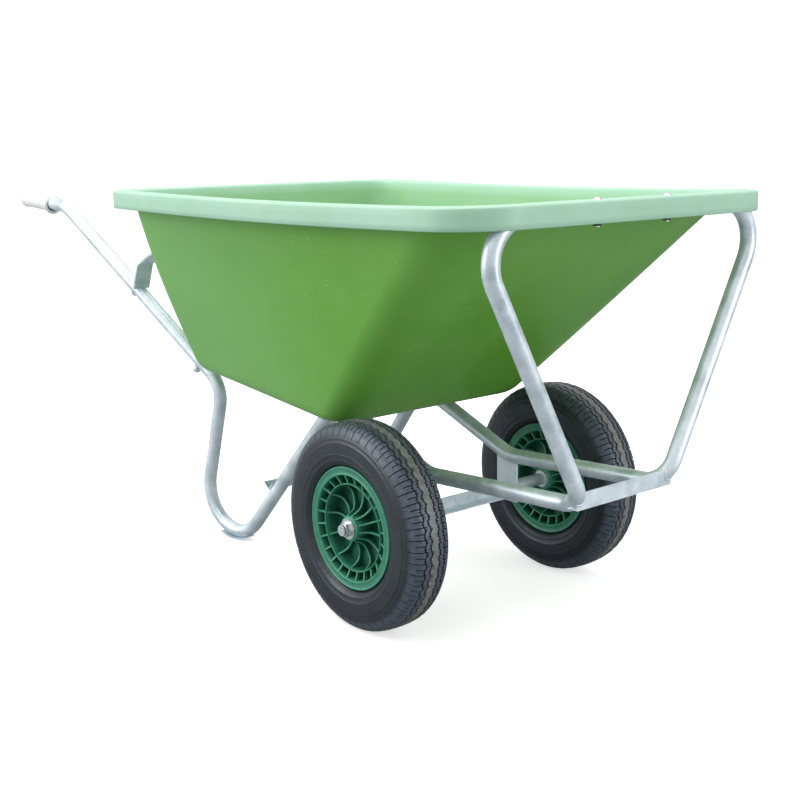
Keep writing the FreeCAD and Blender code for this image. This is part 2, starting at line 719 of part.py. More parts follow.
def make_straps():
    """Bent flat strap from each handle up to the tray's rear wall."""
    spot = handle_point(num("strap_half_gap"))
    up = handle_up()
    run = VECTOR(up.z, 0, -up.x)
    seat = spot + up * (num("tube_radius") + num("seat_gap"))
    sheet_ = num("strap_sheet")
    foot = num("rim_height") - num("strap_foot")
    head = foot + num("strap_lap")
    wall_low = VECTOR(rear_wall_x(foot) - num("seat_gap"), 0, foot)
    wall_top = VECTOR(rear_wall_x(head) - num("seat_gap"), 0, head)
    heel = seat - run * num("strap_heel")
    toe = seat + run * num("strap_toe")
    knee = toe + (up * 0.94 - run * 0.34) * num("strap_rise")
    under = [heel, toe, knee + VECTOR(sheet_ / 2, 0, 0), wall_low, wall_top]
    over = [
        wall_top - VECTOR(sheet_, 0, 0),
        wall_low + VECTOR(-sheet_, 0, sheet_ * 0.7),
        knee + VECTOR(-sheet_ * 0.6, 0, sheet_),
        toe + VECTOR(-sheet_ * 0.9, 0, sheet_ * 1.1),
        heel + up * sheet_,
    ]
    for side, sign in SIDES:
        body = new_body("strap_stock_" + side)
        sketch = new_sketch(body, "strap_section_" + side, "XZ_Plane")
        corners = [(p.x, p.z) for p in under + over]
        draw_loop(sketch, corners[0], corners[1:] + corners[:1])
        pad(body, sketch, D["strap_width"], both_ways=True)
        place(body, 0, D["strap_half_gap"] * sign, 0)
        hole = D["bolt_radius"] + D["hole_gap"]
        length = DRILL_LENGTH
        start = seat - up * (length / 2)
        low = cylinder("strap_hole_low_" + side, hole, length,
                       start.x, D["strap_half_gap"] * sign, start.z, along(up))
        high = cylinder("strap_hole_high_" + side, hole, length, wall_top.x - length / 2,
                        D["strap_half_gap"] * sign, D["rim_height"] - D["wall_bolt_drop"],
                        along(VECTOR(1, 0, 0)))
        cut("strap_" + side, body, fuse("strap_holes_" + side, [low, high]))


# ---------------------------------------------------------------- wheels

def make_tyre(side, sign):
    """Pneumatic tyre, open at the beads, with three grooves round the tread."""
    body = new_body("tyre_" + side)
    sketch = new_sketch(body, "tyre_section_" + side)
    outer = D["tyre_diameter"] / 2
    half = D["tyre_width"] / 2
    bead = D["bead_radius"]
    wall = D["tyre_wall"]
    seat = D["rim_width"] / 2 - D["bead_inset"]
    shoulder = outer - D["crown_sheet"]
    shoulder_half = half - D["shoulder_inset"]
    belly = D["flange_radius"] + D["belly_rise"]
    toe = D["bead_toe"]
    draft = D["groove_draft"]
    floor = outer - D["tread_depth"]
    edge = outer - draft * 2
    lining = half - wall
    lining_shoulder = outer - D["lining_shoulder"]
    lining_half = lining - draft * 10
    draw_loop(sketch, (bead, -seat), [
        (D["flange_radius"] + toe, -seat + draft),
        (belly, -half, D["belly_arc"], 1),
        (shoulder, -shoulder_half, D["sidewall_arc"], 1),
        (edge, -half + D["tread_edge"], D["shoulder_arc"], 1),
        (outer - draft, -D["groove_outer"]), (floor, -D["groove_outer"] + draft),
        (floor, -D["groove_inner"] - draft), (outer, -D["groove_inner"]),
        (outer, D["groove_inner"]), (floor, D["groove_inner"] + draft),
        (floor, D["groove_outer"] - draft), (outer - draft, D["groove_outer"]),
        (edge, half - D["tread_edge"]),
        (shoulder, shoulder_half, D["shoulder_arc"], 1),
        (belly, half, D["sidewall_arc"], 1),
        (D["flange_radius"] + toe, seat - draft, D["belly_arc"], 1),
        (bead, seat),
        (bead, seat - wall - toe),
        (bead + D["bead_height"], seat - wall - draft),
        (belly, lining, D["lining_arc"], -1),
        (lining_shoulder, lining_half, D["belly_arc"], -1),
        (shoulder, 0, D["sidewall_arc"], -1),
        (lining_shoulder, -lining_half, D["sidewall_arc"], -1),
        (belly, -lining, D["belly_arc"], -1),
        (bead + D["bead_height"], -seat + wall + draft, D["lining_arc"], -1),
        (bead, -seat + wall + toe),
        (bead, -seat),
    ])
    revolve(body, sketch)
    place(body, 0, D["wheel_track"] / 2 * sign, outer)


def make_inner_tube(side, sign):
    """Inner tube that fills the tyre, hollow."""
    outer = D["tyre_diameter"] / 2
    body = new_body("inner_tube_" + side)
    sketch = new_sketch(body, "inner_tube_section_" + side)
    fat, skin = D["inner_tube_radius"], D["inner_tube_skin"]
    middle = outer - D["crown_sheet"] - D["seat_gap"] - fat
    draw_circle(sketch, middle, 0, fat)
    draw_circle(sketch, middle, 0, fat - skin)
    revolve(body, sketch)
    place(body, 0, D["wheel_track"] / 2 * sign, outer)


def make_wheel_rim(side, sign):
    """Moulded rim: barrel with two flanges, middle web, ring, hub and radial ribs."""
    body = new_body("wheel_rim_" + side)
    sketch = new_sketch(body, "rim_section_" + side)
    half = D["rim_width"] / 2
    web = D["web_sheet"] / 2
    sheet_ = D["rim_sheet"]
    barrel = D["bead_radius"] - D["seat_gap"]
    ring = D["ring_radius"]
    hub = D["hub_length"] / 2
    bore = D["bush_radius"] + D["hole_gap"] / 2
    reach = half - D["ring_inset"]
    flange, edge = D["flange_radius"], D["flange_edge"]
    inner, outer = ring - D["ring_half_sheet"], ring + D["ring_half_sheet"]

    def half_outline(s):
        return [
            (D["hub_radius"], hub * s), (D["hub_radius"] + D["hub_flare"], web * s),
            (inner, web * s), (inner, reach * s), (outer, reach * s),
            (outer, web * s), (barrel - sheet_, web * s),
            (barrel - sheet_, (half - edge) * s), (flange - D["flange_depth"], half * s),
            (flange - edge, half * s), (flange, (half - edge) * s),
            (flange, (half - D["flange_sheet"]) * s),
            (barrel, (half - D["flange_sheet"] - 1) * s),
        ]
    upper = half_outline(1)
    lower = half_outline(-1)
    corners = [(bore, hub * -1), (bore, hub)] + upper + list(reversed(lower))
    draw_loop(sketch, corners[0], corners[1:] + corners[:1])
    revolve(body, sketch)

    long_rib = new_sketch(body, "hub_rib_" + side)
    dish = web + D["rib_dish"]
    root = D["hub_radius"] - D["ring_half_sheet"]
    near, far = D["hub_radius"] + D["rib_inner_run"], ring - D["rib_outer_run"]
    top, sink = hub - D["rib_sink"], reach - D["rib_sink"]
    step = dish + D["rib_step"]
    draw_loop(long_rib, (root, top), [
        (near, step, D["rib_hub_arc"], 1),
        (far, dish, D["rib_middle_arc"], 1),
        (ring, sink, D["rib_ring_arc"], 1),
        (ring, -sink),
        (far, -dish, D["rib_ring_arc"], 1),
        (near, -step, D["rib_middle_arc"], 1),
        (root, -top, D["rib_hub_arc"], 1),
        (root, top),
    ])
    pad(body, long_rib, D["rib_sheet"], both_ways=True)
    doc.recompute()
    pattern(body, "hub_ribs_" + side, body.Tip, num("hub_ribs"), D["hub_ribs"])

    short_rib = new_sketch(body, "lip_rib_" + side)
    shelf = half - D["rib_sink"]
    draw_loop(short_rib, (ring, reach - edge), [
        (barrel - edge, shelf), (barrel - edge, -shelf), (ring, -reach + edge),
        (ring, reach - edge)])
    pad(body, short_rib, D["rib_sheet"], both_ways=True)
    doc.recompute()
    pattern(body, "lip_ribs_" + side, body.Tip, num("hub_ribs") * 2, D["hub_ribs"] * 2)
    turn = FreeCAD.Rotation(VECTOR(0, 1, 0), 180 / num("hub_ribs") / 2)
    place(body, 0, D["wheel_track"] / 2 * sign, D["tyre_diameter"] / 2, turn)


def pattern(body, name, feature, count, count_dim):
    """Repeat a feature round the wheel's axis."""
    spread = body.newObject("PartDesign::PolarPattern", name)
    spread.Originals = [feature]
    axis = [f for f in body.Origin.OriginFeatures if f.Role == "Y_Axis"][0]
    spread.Axis = (axis, [""])
    spread.Angle = 360
    spread.Occurrences = int(count)
    bind(spread, "Occurrences", count_dim)
    body.Tip = spread


def make_bush(side, sign):
    """Nylon bush in the hub, running on the stub axle."""
    body = new_body("hub_bush_" + side)
    sketch = new_sketch(body, "bush_section_" + side)
    draw_circle(sketch, 0, 0, D["bush_radius"])
    draw_circle(sketch, 0, 0, D["journal_radius"] + D["running_gap"])
    pad(body, sketch, D["hub_length"], both_ways=True)
    turn = FreeCAD.Rotation(VECTOR(1, 0, 0), 90)
    place(body, 0, D["wheel_track"] / 2 * sign, D["tyre_diameter"] / 2, turn)


def make_valve(side, sign):
    """Valve stem through the barrel and the ring, with its cap."""
    axle = D["tyre_diameter"] / 2
    offset = (D["wheel_track"] / 2 + D["valve_offset"]) * sign
    turn = along(VECTOR(-1, 0, 0))
    start = D["bead_radius"] - D["seat_gap"]
    foot = D["valve_tip_radius"] + D["valve_cap_length"] - D["valve_cap_lap"]
    stem = cylinder("valve_stem_" + side, D["valve_radius"] - 1,
                    start - foot + D["valve_cap_lap"], start, offset, axle, turn)
    cap = cylinder("valve_cap_" + side, D["valve_radius"], D["valve_cap_length"],
                   foot, offset, axle, turn)
    fuse("valve_" + side, [stem, cap])


def drill_rims():
    """Clearance hole for each valve through the rim's ring and barrel."""
    for side, sign in SIDES:
        body = doc.getObject("wheel_rim_" + side)
        body.Label = "wheel_rim_moulding_" + side
        offset = (D["wheel_track"] / 2 + D["valve_offset"]) * sign
        drill = cylinder("valve_hole_" + side, D["valve_radius"] - 1 + D["hole_gap"],
                         D["bead_radius"] - D["valve_tip_radius"], D["flange_radius"] - 10,
                         offset, D["tyre_diameter"] / 2,
                         along(VECTOR(-1, 0, 0)))
        cut("rim_" + side, body, drill)


# ---------------------------------------------------------------- tray

TOUCHING = 0.05


def edges_on(shape, test):
    """Names of the edges whose points all pass a test."""
    names = []
    for number, edge in enumerate(shape.Edges, start=1):
        first, last = edge.ParameterRange
        points = [edge.valueAt(first + (last - first) * k / 4) for k in range(5)]
        if all(test(p) for p in points):
            names.append("Edge{}".format(number))
    return names


def round_edges(body, name, radius, test):
    doc.recompute()
    base = body.Tip
    feature = body.newObject("PartDesign::Fillet", name)
    feature.Base = (base, edges_on(base.Shape, test))
    feature.Radius = float(radius)
    bind(feature, "Radius", radius)
    doc.recompute()


def make_tray():
    """Moulded tray: lofted shell, flat rim with a skirt turned down all round."""
    body = new_body("tray_moulding")
    sheet_ = D["tray_sheet"]
    rim = D["rim_height"]
    front, rear = D["mouth_front_x"], D["mouth_rear_x"]
    wide = D["mouth_half_width"]
    floor_f, floor_r = D["floor_front_x"], D["floor_rear_x"]
    low = D["floor_front_height"]
    slant = math.cos(math.radians(FLOOR_TILT))

    def hollow_form(form, name, inset, rise):
        """Loft from the mouth down to the sloping floor, its floor edge rounded."""
        # the floor's sketch is measured along its slope from x = 0
        level = low + D["floor_rise"] * (floor_f / (floor_f - floor_r).value) + rise
        mouth = new_sketch(form, "mouth_" + name, "XY_Plane", rim)
        draw_rounded_box(mouth, front - inset, rear + inset, wide - inset,
                         D["mouth_front_round"] - inset, D["mouth_rear_round"] - inset)
        base = new_sketch(form, "floor_" + name, "XY_Plane", level, FLOOR_TILT)
        draw_rounded_box(base, (floor_f - inset) / slant, (floor_r + inset) / slant,
                         D["floor_half_width"] - inset,
                         D["floor_front_round"] - inset, D["floor_rear_round"] - inset)
        loft = form.newObject("PartDesign::AdditiveLoft", "loft_" + name)
        loft.Profile = mouth
        loft.Sections = [base]
        loft.Ruled = True

        def on_floor(p):
            return abs(p.z - floor_height(p.x) - float(rise)) < TOUCHING

        round_edges(form, "round_" + name, D["floor_edge_round"] - inset, on_floor)

    hollow_form(body, "outside", 0.0, 0.0)

    lip = D["skirt_sheet"]

    def draw_rim(sketch, inset):
        draw_rounded_box(sketch, D["rim_front_x"] - inset, D["rim_rear_x"] + inset,
                         D["rim_half_width"] - inset,
                         D["rim_front_round"] - inset, D["rim_rear_round"] - inset)

    plate = new_sketch(body, "rim_plate", "XY_Plane", rim)
    draw_rim(plate, 0.0)
    pad(body, plate, sheet_, down=True)
    skirt = new_sketch(body, "rim_skirt", "XY_Plane", rim)
    draw_rim(skirt, 0.0)
    draw_rim(skirt, lip)
    pad(body, skirt, D["skirt_depth"], down=True)

    def on_rim_edge(p):
        outside = 8
        outer = (p.x > num("mouth_front_x") + outside or p.x < num("mouth_rear_x") - outside
                 or abs(p.y) > num("mouth_half_width") + outside)
        return abs(p.z - num("rim_height")) < TOUCHING and outer

    round_edges(body, "rim_edge", D["rim_edge_round"], on_rim_edge)
    place(body, 0, 0, 0)

    cavity = new_body("tray_cavity")
    hollow_form(cavity, "inside", sheet_, sheet_ / slant)
    place(cavity, 0, 0, 0)

    hole = D["bolt_radius"] + D["hole_gap"]
    length = 40
    drills = [cavity]
    for side, sign in SIDES:
        for number, bend in enumerate((SADDLE, HAUNCH)):
            spot = mirrored(crown_under_floor(bend), sign) - FLOOR_UP * (length / 2)
            drills.append(cylinder("floor_hole_{}_{}".format(side, number), hole, length,
                                   spot.x, spot.y, spot.z, along(FLOOR_UP)))
        drills.append(cylinder("rim_hole_" + side, hole, length, D["hoop_x"],
                               D["rim_bolt_half_gap"] * sign, rim - length / 2, along(UP)))
        drills.append(cylinder("wall_hole_" + side, hole, length, D["mouth_rear_x"] - 10,
                               D["strap_half_gap"] * sign, rim - D["wall_bolt_drop"],
                               along(VECTOR(1, 0, 0))))
    cut("tray", body, fuse("tray_holes", drills))


# ---------------------------------------------------------------- fasteners

BOLT_TAIL = 2


def dome_bolt(length):
    """Mushroom-headed bolt, head above z = 0 and shank below."""
    radius = num("bolt_radius")
    head_radius, ball_radius = radius * 2.05, radius * 2.6
    sunk, head_height = radius * 1.55, radius * 1.1
    ball = Part.makeSphere(ball_radius, VECTOR(0, 0, -sunk))
    head = Part.makeCylinder(head_radius, head_height).common(ball)
    shank = Part.makeCylinder(radius, length, VECTOR(0, 0, 0), DOWN)
    return head.fuse(shank).removeSplitter()


def nut_length():
    return num("bolt_radius") * 1.7


def flange_nut():
    """Hexagon nut with its bearing face at z = 0, below."""
    radius = num("bolt_radius")
    flats, flange = radius * 3.25, radius * 2.1
    height = nut_length()
    body = hexagon(flats, height).fuse(Part.makeCylinder(flange, num("washer_face")))
    return body.removeSplitter().cut(Part.makeCylinder(radius + num("thread_gap"), height))


def make_fasteners():
    gap = num("seat_gap")
    tube = num("tube_radius")
    rim_top = num("rim_height")
    rim_spots, rim_nuts = [], []
    floor_spots, floor_nuts = [], []
    strap_spots, strap_nuts = [], []
    wall_spots, wall_nuts = [], []
    up_turn, down_turn = along(UP), along(DOWN)
    for _, sign in SIDES:
        y = sign * num("rim_bolt_half_gap")
        rim_spots.append((VECTOR(num("hoop_x"), y, rim_top), up_turn))
        rim_nuts.append((VECTOR(num("hoop_x"), y, hoop_top() - tube - gap), down_turn))
        for bend in (SADDLE, HAUNCH):
            under = mirrored(crown_under_floor(bend), sign)
            top = under + FLOOR_UP * (num("tray_sheet"))
            floor_spots.append((top, along(FLOOR_UP)))
            below = under - FLOOR_UP * (2 * tube + 4 * gap)
            floor_nuts.append((below, along(FLOOR_UP * -1)))
        spot, heading = strap_bolt(sign)
        seat = spot + heading * (tube + gap + num("strap_sheet"))
        strap_spots.append((seat, along(heading)))
        strap_nuts.append((spot - heading * (tube + gap), along(heading * -1)))
        height = rim_top - num("wall_bolt_drop")
        wall = rear_wall_x(height)
        y = sign * num("strap_half_gap")
        outside = wall - gap - num("strap_sheet") - num("washer_face")
        inside = wall + num("tray_sheet") + num("washer_face")
        wall_spots.append((VECTOR(inside, y, height), along(VECTOR(1, 0, 0))))
        wall_nuts.append((VECTOR(outside, y, height), along(VECTOR(-1, 0, 0))))
    sheet_, strap = num("tray_sheet"), num("strap_sheet")
    through_tube = 2 * tube + 2 * gap + nut_length() + BOLT_TAIL
    nut = flange_nut()
    group("rim_bolts", dome_bolt(sheet_ + through_tube), rim_spots)
    group("rim_nuts", nut, rim_nuts)
    group("floor_bolts", dome_bolt(sheet_ + through_tube), floor_spots)
    group("floor_nuts", nut, floor_nuts)
    group("strap_bolts", dome_bolt(strap + through_tube), strap_spots)
    group("strap_nuts", nut, strap_nuts)
    group("wall_bolts", dome_bolt(sheet_ + strap + gap + nut_length() + 2 * BOLT_TAIL),
          wall_spots)
    group("wall_nuts", nut, wall_nuts)


# ---------------------------------------------------------------- build and write

def build():
    make_side_tubes()
    make_front_hoop()
    make_tipping_bar()
    make_axle_plates()
    make_axle_angle()
    make_stub_axles()
    make_axle_ends()
    make_skids()
    make_leg_brace()
    make_grips()
    make_straps()
    for side, sign in SIDES:
        make_tyre(side, sign)
        make_inner_tube(side, sign)
        make_wheel_rim(side, sign)
        make_bush(side, sign)
        make_valve(side, sign)
    drill_rims()
    make_tray()
    make_fasteners()
    doc.recompute()


PAIRED = ("side_tube", "axle_plate", "stub_axle", "skid", "grip", "strap", "tyre",
          "inner_tube", "rim", "hub_bush", "valve")
SINGLE = ("tray", "front_hoop", "tipping_bar", "axle_angle", "leg_brace",
          "axle_washers", "axle_nuts", "rim_bolts", "rim_nuts", "floor_bolts",
          "floor_nuts", "strap_bolts", "strap_nuts", "wall_bolts", "wall_nuts")


def write_parts():
    labels = list(SINGLE)
    for name in PAIRED:
        labels += [name + "_" + side for side, _ in SIDES]
    for item in doc.Objects:
        if "Invalid" in item.State or "Error" in item.State:
            raise RuntimeError("{} failed: {}".format(item.Label, item.State))
    nodes = {item.Label: item for item in doc.Objects if item.Label in labels}
    for label in labels:
        shape = nodes[label].Shape
        if shape.isNull() or not shape.isValid():
            raise RuntimeError(label + " has no valid shape")
    os.makedirs("parts", exist_ok=True)
    box = FreeCAD.BoundBox()
    for label in labels:
        shape = nodes[label].Shape
        shape.exportStep("parts/{}.step".format(label))
        box.add(shape.BoundBox)
        print(label, len(shape.Solids), "volume", round(shape.Volume / 1000, 1), "cm3")
    print("box", box)


build()
write_parts()
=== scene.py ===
# %% [markdown]
# # A twin-wheel barrow with a moulded tray
# A deep green plastic tray sits on a frame of bent, galvanised tube. Two pneumatic
# wheels carry the load under the tray's sloping nose. The metal parts come from the
# measured model and get their finishes here. The tray, tyres, rims and grips are built
# again in this lesson, because their detail is finer than the measured model needs,
# and weld beads are added to the frame.

# %% Load the measured frame
import math

import bmesh
import bpy
import numpy as np
from mathutils import Matrix, Vector
from mathutils.bvhtree import BVHTree


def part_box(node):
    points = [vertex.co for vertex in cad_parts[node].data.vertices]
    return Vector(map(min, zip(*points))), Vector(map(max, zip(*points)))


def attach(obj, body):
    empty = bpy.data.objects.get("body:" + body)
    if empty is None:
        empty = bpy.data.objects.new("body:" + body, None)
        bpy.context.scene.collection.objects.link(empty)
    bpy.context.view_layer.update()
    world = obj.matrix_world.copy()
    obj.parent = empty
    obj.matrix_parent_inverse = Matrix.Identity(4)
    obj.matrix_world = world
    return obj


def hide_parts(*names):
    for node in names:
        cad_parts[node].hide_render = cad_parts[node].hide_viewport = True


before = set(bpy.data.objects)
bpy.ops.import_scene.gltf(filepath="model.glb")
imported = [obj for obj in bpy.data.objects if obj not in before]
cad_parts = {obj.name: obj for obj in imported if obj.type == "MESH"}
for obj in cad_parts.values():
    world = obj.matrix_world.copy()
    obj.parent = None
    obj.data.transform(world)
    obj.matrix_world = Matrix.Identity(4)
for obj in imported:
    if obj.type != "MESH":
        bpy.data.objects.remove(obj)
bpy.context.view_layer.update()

SIDES = (("left", 1), ("right", -1))

# %% [markdown]
# ## Camera, floor and light
# The camera stands in front of the barrow and to its right, a little above the tray's
# rim. Its place is written as a position and three turns, which is easier to change
# than a matrix. The stage is a pale floor under a bright, even sky, with one large
# lamp above, one behind at the side and one low in front, as in a small studio.

# %% The camera
CAMERA_PLACE = Vector((2.2049, -1.6296, 0.911))
CAMERA_AZIMUTH = math.radians(50.31)
CAMERA_ELEVATION = math.radians(11.98)
CAMERA_ROLL = math.radians(-0.74)
LENS_LENGTH = 55.68
SENSOR_WIDTH = 36.0


def add_camera():
    lens = bpy.data.cameras.new("camera")
    lens.lens = LENS_LENGTH
    lens.sensor_width = SENSOR_WIDTH
    camera = bpy.data.objects.new("camera", lens)
    bpy.context.scene.collection.objects.link(camera)
    flat = math.cos(CAMERA_ELEVATION)
    back = Vector((math.sin(CAMERA_AZIMUTH) * flat, -math.cos(CAMERA_AZIMUTH) * flat,
                   math.sin(CAMERA_ELEVATION)))
    right = Vector((math.cos(CAMERA_AZIMUTH), math.sin(CAMERA_AZIMUTH), 0.0))
    up = back.cross(right)
    turned_right = math.cos(CAMERA_ROLL) * right + math.sin(CAMERA_ROLL) * up
    turned_up = math.cos(CAMERA_ROLL) * up - math.sin(CAMERA_ROLL) * right
    camera.matrix_world = Matrix((
        (turned_right.x, turned_up.x, back.x, CAMERA_PLACE.x),
        (turned_right.y, turned_up.y, back.y, CAMERA_PLACE.y),
        (turned_right.z, turned_up.z, back.z, CAMERA_PLACE.z),
        (0.0, 0.0, 0.0, 1.0)))
    bpy.context.scene.camera = camera
    return camera


print("camera", add_camera().location)

# %% The stage and its light
FLOOR_HALF = 60.0
FLOOR_LEVEL = -0.0005
FLOOR_SEEN = (0.95, 0.95, 0.95)
FLOOR_BOUNCE = (0.31, 0.33, 0.34)
FLOOR_GLOW = 0.55


def add_floor():
    mesh = bpy.data.meshes.new("studio_floor")
    corners = [(x * FLOOR_HALF, y * FLOOR_HALF, FLOOR_LEVEL)
               for x, y in ((-1, -1), (1, -1), (1, 1), (-1, 1))]
    mesh.from_pydata(corners, [], [(0, 1, 2, 3)])
    floor = bpy.data.objects.new("studio_floor", mesh)
    bpy.context.scene.collection.objects.link(floor)
    paint = bpy.data.materials.new("studio_floor")
    paint.use_nodes = True
    tree = paint.node_tree
    shader = tree.nodes["Principled BSDF"]
    shader.inputs["Roughness"].default_value = 0.9
    # the floor glows pale to the eye but throws less light on the barrow
    ray = tree.nodes.new("ShaderNodeLightPath")
    tone = tree.nodes.new("ShaderNodeMix")
    tone.data_type = "RGBA"
    tree.links.new(ray.outputs["Is Camera Ray"], tone.inputs[0])
    tone.inputs[6].default_value = (*FLOOR_BOUNCE, 1.0)
    tone.inputs[7].default_value = (*FLOOR_SEEN, 1.0)
    tree.links.new(tone.outputs[2], shader.inputs["Base Color"])
    glow = tree.nodes.new("ShaderNodeMath")
    glow.operation = "MULTIPLY"
    glow.inputs[1].default_value = FLOOR_GLOW
    tree.links.new(ray.outputs["Is Camera Ray"], glow.inputs[0])
    shader.inputs["Emission Color"].default_value = (1.0, 1.0, 1.0, 1.0)
    tree.links.new(glow.outputs["Value"], shader.inputs["Emission Strength"])
    mesh.materials.append(paint)


def add_lamp(name, place, target, size, power):
    lamp = bpy.data.lights.new(name, "AREA")
    lamp.size = size
    lamp.energy = power
    holder = bpy.data.objects.new(name, lamp)
    holder.location = place
    direction = Vector(target) - Vector(place)
    holder.rotation_euler = direction.to_track_quat("-Z", "Y").to_euler()
    bpy.context.scene.collection.objects.link(holder)


def add_sky(seen, given):
    """A white sky: seen is its brightness to the eye, given is what it lights with."""
    world = bpy.data.worlds.new("studio_sky")
    world.use_nodes = True
    tree = world.node_tree
    sky = tree.nodes["Background"]
    sky.inputs["Color"].default_value = (1.0, 1.0, 1.0, 1.0)
    ray = tree.nodes.new("ShaderNodeLightPath")
    strength = tree.nodes.new("ShaderNodeMapRange")
    strength.inputs["To Min"].default_value = given
    strength.inputs["To Max"].default_value = seen
    tree.links.new(ray.outputs["Is Camera Ray"], strength.inputs["Value"])
    tree.links.new(strength.outputs["Result"], sky.inputs["Strength"])
    bpy.context.scene.world = world


add_floor()
add_sky(1.05, 0.72)
add_lamp("overhead", (0.0, -0.5, 3.6), (0.1, 0.0, 0.4), 4.0, 120.0)
add_lamp("side", (-2.0, -3.6, 1.7), (0.0, -0.2, 0.5), 2.4, 78.0)
add_lamp("front", (3.7, 1.3, 1.0), (0.6, 0.0, 0.6), 1.6, 36.0)
bpy.context.scene.view_settings.view_transform = "Standard"
print("stage ready")

# %% [markdown]
# ## Small helpers for node materials
# Every finish is a tree of nodes. Most need the same few steps: noise on the piece's
# own coordinates, a ramp from grey to colours, and a bump. Short helpers keep each
# finish readable.

# %% Node helpers
def new_finish(name):
    """A material with its tree and its shader."""
    finish = bpy.data.materials.new(name)
    finish.use_nodes = True
    return finish, finish.node_tree, finish.node_tree.nodes["Principled BSDF"]


def piece_coords(tree):
    return tree.nodes.new("ShaderNodeTexCoord").outputs["Object"]


def noise(tree, coords, scale, detail=3.0, stretch=None):
    """Cloudy grey noise; scale is in waves per metre."""
    if stretch is not None:
        mapping = tree.nodes.new("ShaderNodeMapping")
        mapping.inputs["Scale"].default_value = stretch
        tree.links.new(coords, mapping.inputs["Vector"])
        coords = mapping.outputs["Vector"]
    node = tree.nodes.new("ShaderNodeTexNoise")
    node.inputs["Scale"].default_value = scale
    node.inputs["Detail"].default_value = detail
    tree.links.new(coords, node.inputs["Vector"])
    return node.outputs["Fac"]


def crystals(tree, coords, scale):
    """Flat cells with a random grey each, as zinc spangle."""
    node = tree.nodes.new("ShaderNodeTexVoronoi")
    node.inputs["Scale"].default_value = scale
    tree.links.new(coords, node.inputs["Vector"])
    grey = tree.nodes.new("ShaderNodeSeparateColor")
    tree.links.new(node.outputs["Color"], grey.inputs["Color"])
    return grey.outputs["Red"]


def ramp(tree, value, stops):
    """Map a grey value to colours: stops are (position, (r, g, b))."""
    node = tree.nodes.new("ShaderNodeValToRGB")
    elements = node.color_ramp.elements
    while len(elements) < len(stops):
        elements.new(0.5)
    for element, (position, colour) in zip(elements, stops):
        element.position = position
        element.color = (*colour, 1.0)
    tree.links.new(value, node.inputs["Fac"])
    return node.outputs["Color"]


def grey_ramp(tree, value, low, high, start=0.0, end=1.0):
    """Stretch a grey value between two others."""
    node = tree.nodes.new("ShaderNodeMapRange")
    node.inputs["From Min"].default_value = start
    node.inputs["From Max"].default_value = end
    node.inputs["To Min"].default_value = low
    node.inputs["To Max"].default_value = high
    tree.links.new(value, node.inputs["Value"])
    return node.outputs["Result"]


def mix(tree, amount, first, second):
    """Lay one colour over another."""
    node = tree.nodes.new("ShaderNodeMix")
    node.data_type = "RGBA"
    for socket, value in ((node.inputs[0], amount), (node.inputs[6], first),
                          (node.inputs[7], second)):
        if isinstance(value, bpy.types.NodeSocket):
            tree.links.new(value, socket)
        elif isinstance(value, tuple):
            socket.default_value = (*value, 1.0)
        else:
            socket.default_value = value
    return node.outputs[2]


def total(tree, first, second, kind="ADD"):
    node = tree.nodes.new("ShaderNodeMath")
    node.operation = kind
    for socket, value in zip(node.inputs, (first, second)):
        if isinstance(value, bpy.types.NodeSocket):
            tree.links.new(value, socket)
        else:
            socket.default_value = value
    return node.outputs["Value"]


def own_value(tree, name):
    """A number stored on the piece's own mesh."""
    node = tree.nodes.new("ShaderNodeAttribute")
    node.attribute_name = name
    return node.outputs["Fac"]


def add_bump(tree, shader, height, depth, strength=1.0):
    node = tree.nodes.new("ShaderNodeBump")
    node.inputs["Distance"].default_value = depth
    node.inputs["Strength"].default_value = strength
    tree.links.new(height, node.inputs["Height"])
    tree.links.new(node.outputs["Normal"], shader.inputs["Normal"])


print("node helpers ready")

# %% [markdown]
# ## Galvanised tube and zinc-plated fasteners
# Hot-dip galvanising leaves a pale, satin skin of zinc with a faint spangle, dull
# clouds where it cooled slowly, and short rub marks. It is part metal, part chalky
# oxide, so the shader is not fully metallic. Fasteners have a thinner, brighter
# plating with a slight blue tone.

# %% Metal finishes
def galvanised_steel():
    finish, tree, shader = new_finish("galvanised_steel")
    coords = piece_coords(tree)
    cloud = noise(tree, coords, 26.0, 5.0)
    spangle = crystals(tree, coords, 190.0)
    rubbed = noise(tree, coords, 30.0, 6.0, (1.0, 1.0, 6.0))
    base = ramp(tree, cloud, [(0.30, (0.53, 0.63, 0.70)), (0.50, (0.71, 0.80, 0.87)),
                              (0.72, (0.84, 0.92, 0.98))])
    speckled = mix(tree, 0.10, base, ramp(tree, spangle, [
        (0.0, (0.40, 0.43, 0.44)), (1.0, (0.90, 0.92, 0.93))]))
    marks = grey_ramp(tree, rubbed, 0.0, 0.55, 0.66, 0.78)
    tree.links.new(mix(tree, marks, speckled, (0.33, 0.35, 0.35)), shader.inputs["Base Color"])
    shader.inputs["Metallic"].default_value = 0.5
    rough = total(tree, grey_ramp(tree, cloud, 0.34, 0.52, 0.3, 0.7),
                  grey_ramp(tree, spangle, -0.03, 0.03))
    tree.links.new(rough, shader.inputs["Roughness"])
    fine = total(tree, noise(tree, coords, 420.0, 2.0), total(tree, cloud, 1.4, "MULTIPLY"))
    add_bump(tree, shader, fine, 0.00035, 0.6)
    return finish


def zinc_plate():
    finish, tree, shader = new_finish("zinc_plate")
    coords = piece_coords(tree)
    cloud = noise(tree, coords, 160.0, 4.0)
    colour = ramp(tree, cloud, [(0.3, (0.52, 0.56, 0.60)), (0.7, (0.86, 0.88, 0.90))])
    tree.links.new(colour, shader.inputs["Base Color"])
    shader.inputs["Metallic"].default_value = 0.85
    tree.links.new(grey_ramp(tree, cloud, 0.22, 0.40), shader.inputs["Roughness"])
    add_bump(tree, shader, noise(tree, coords, 900.0), 0.00012, 0.5)
    return finish


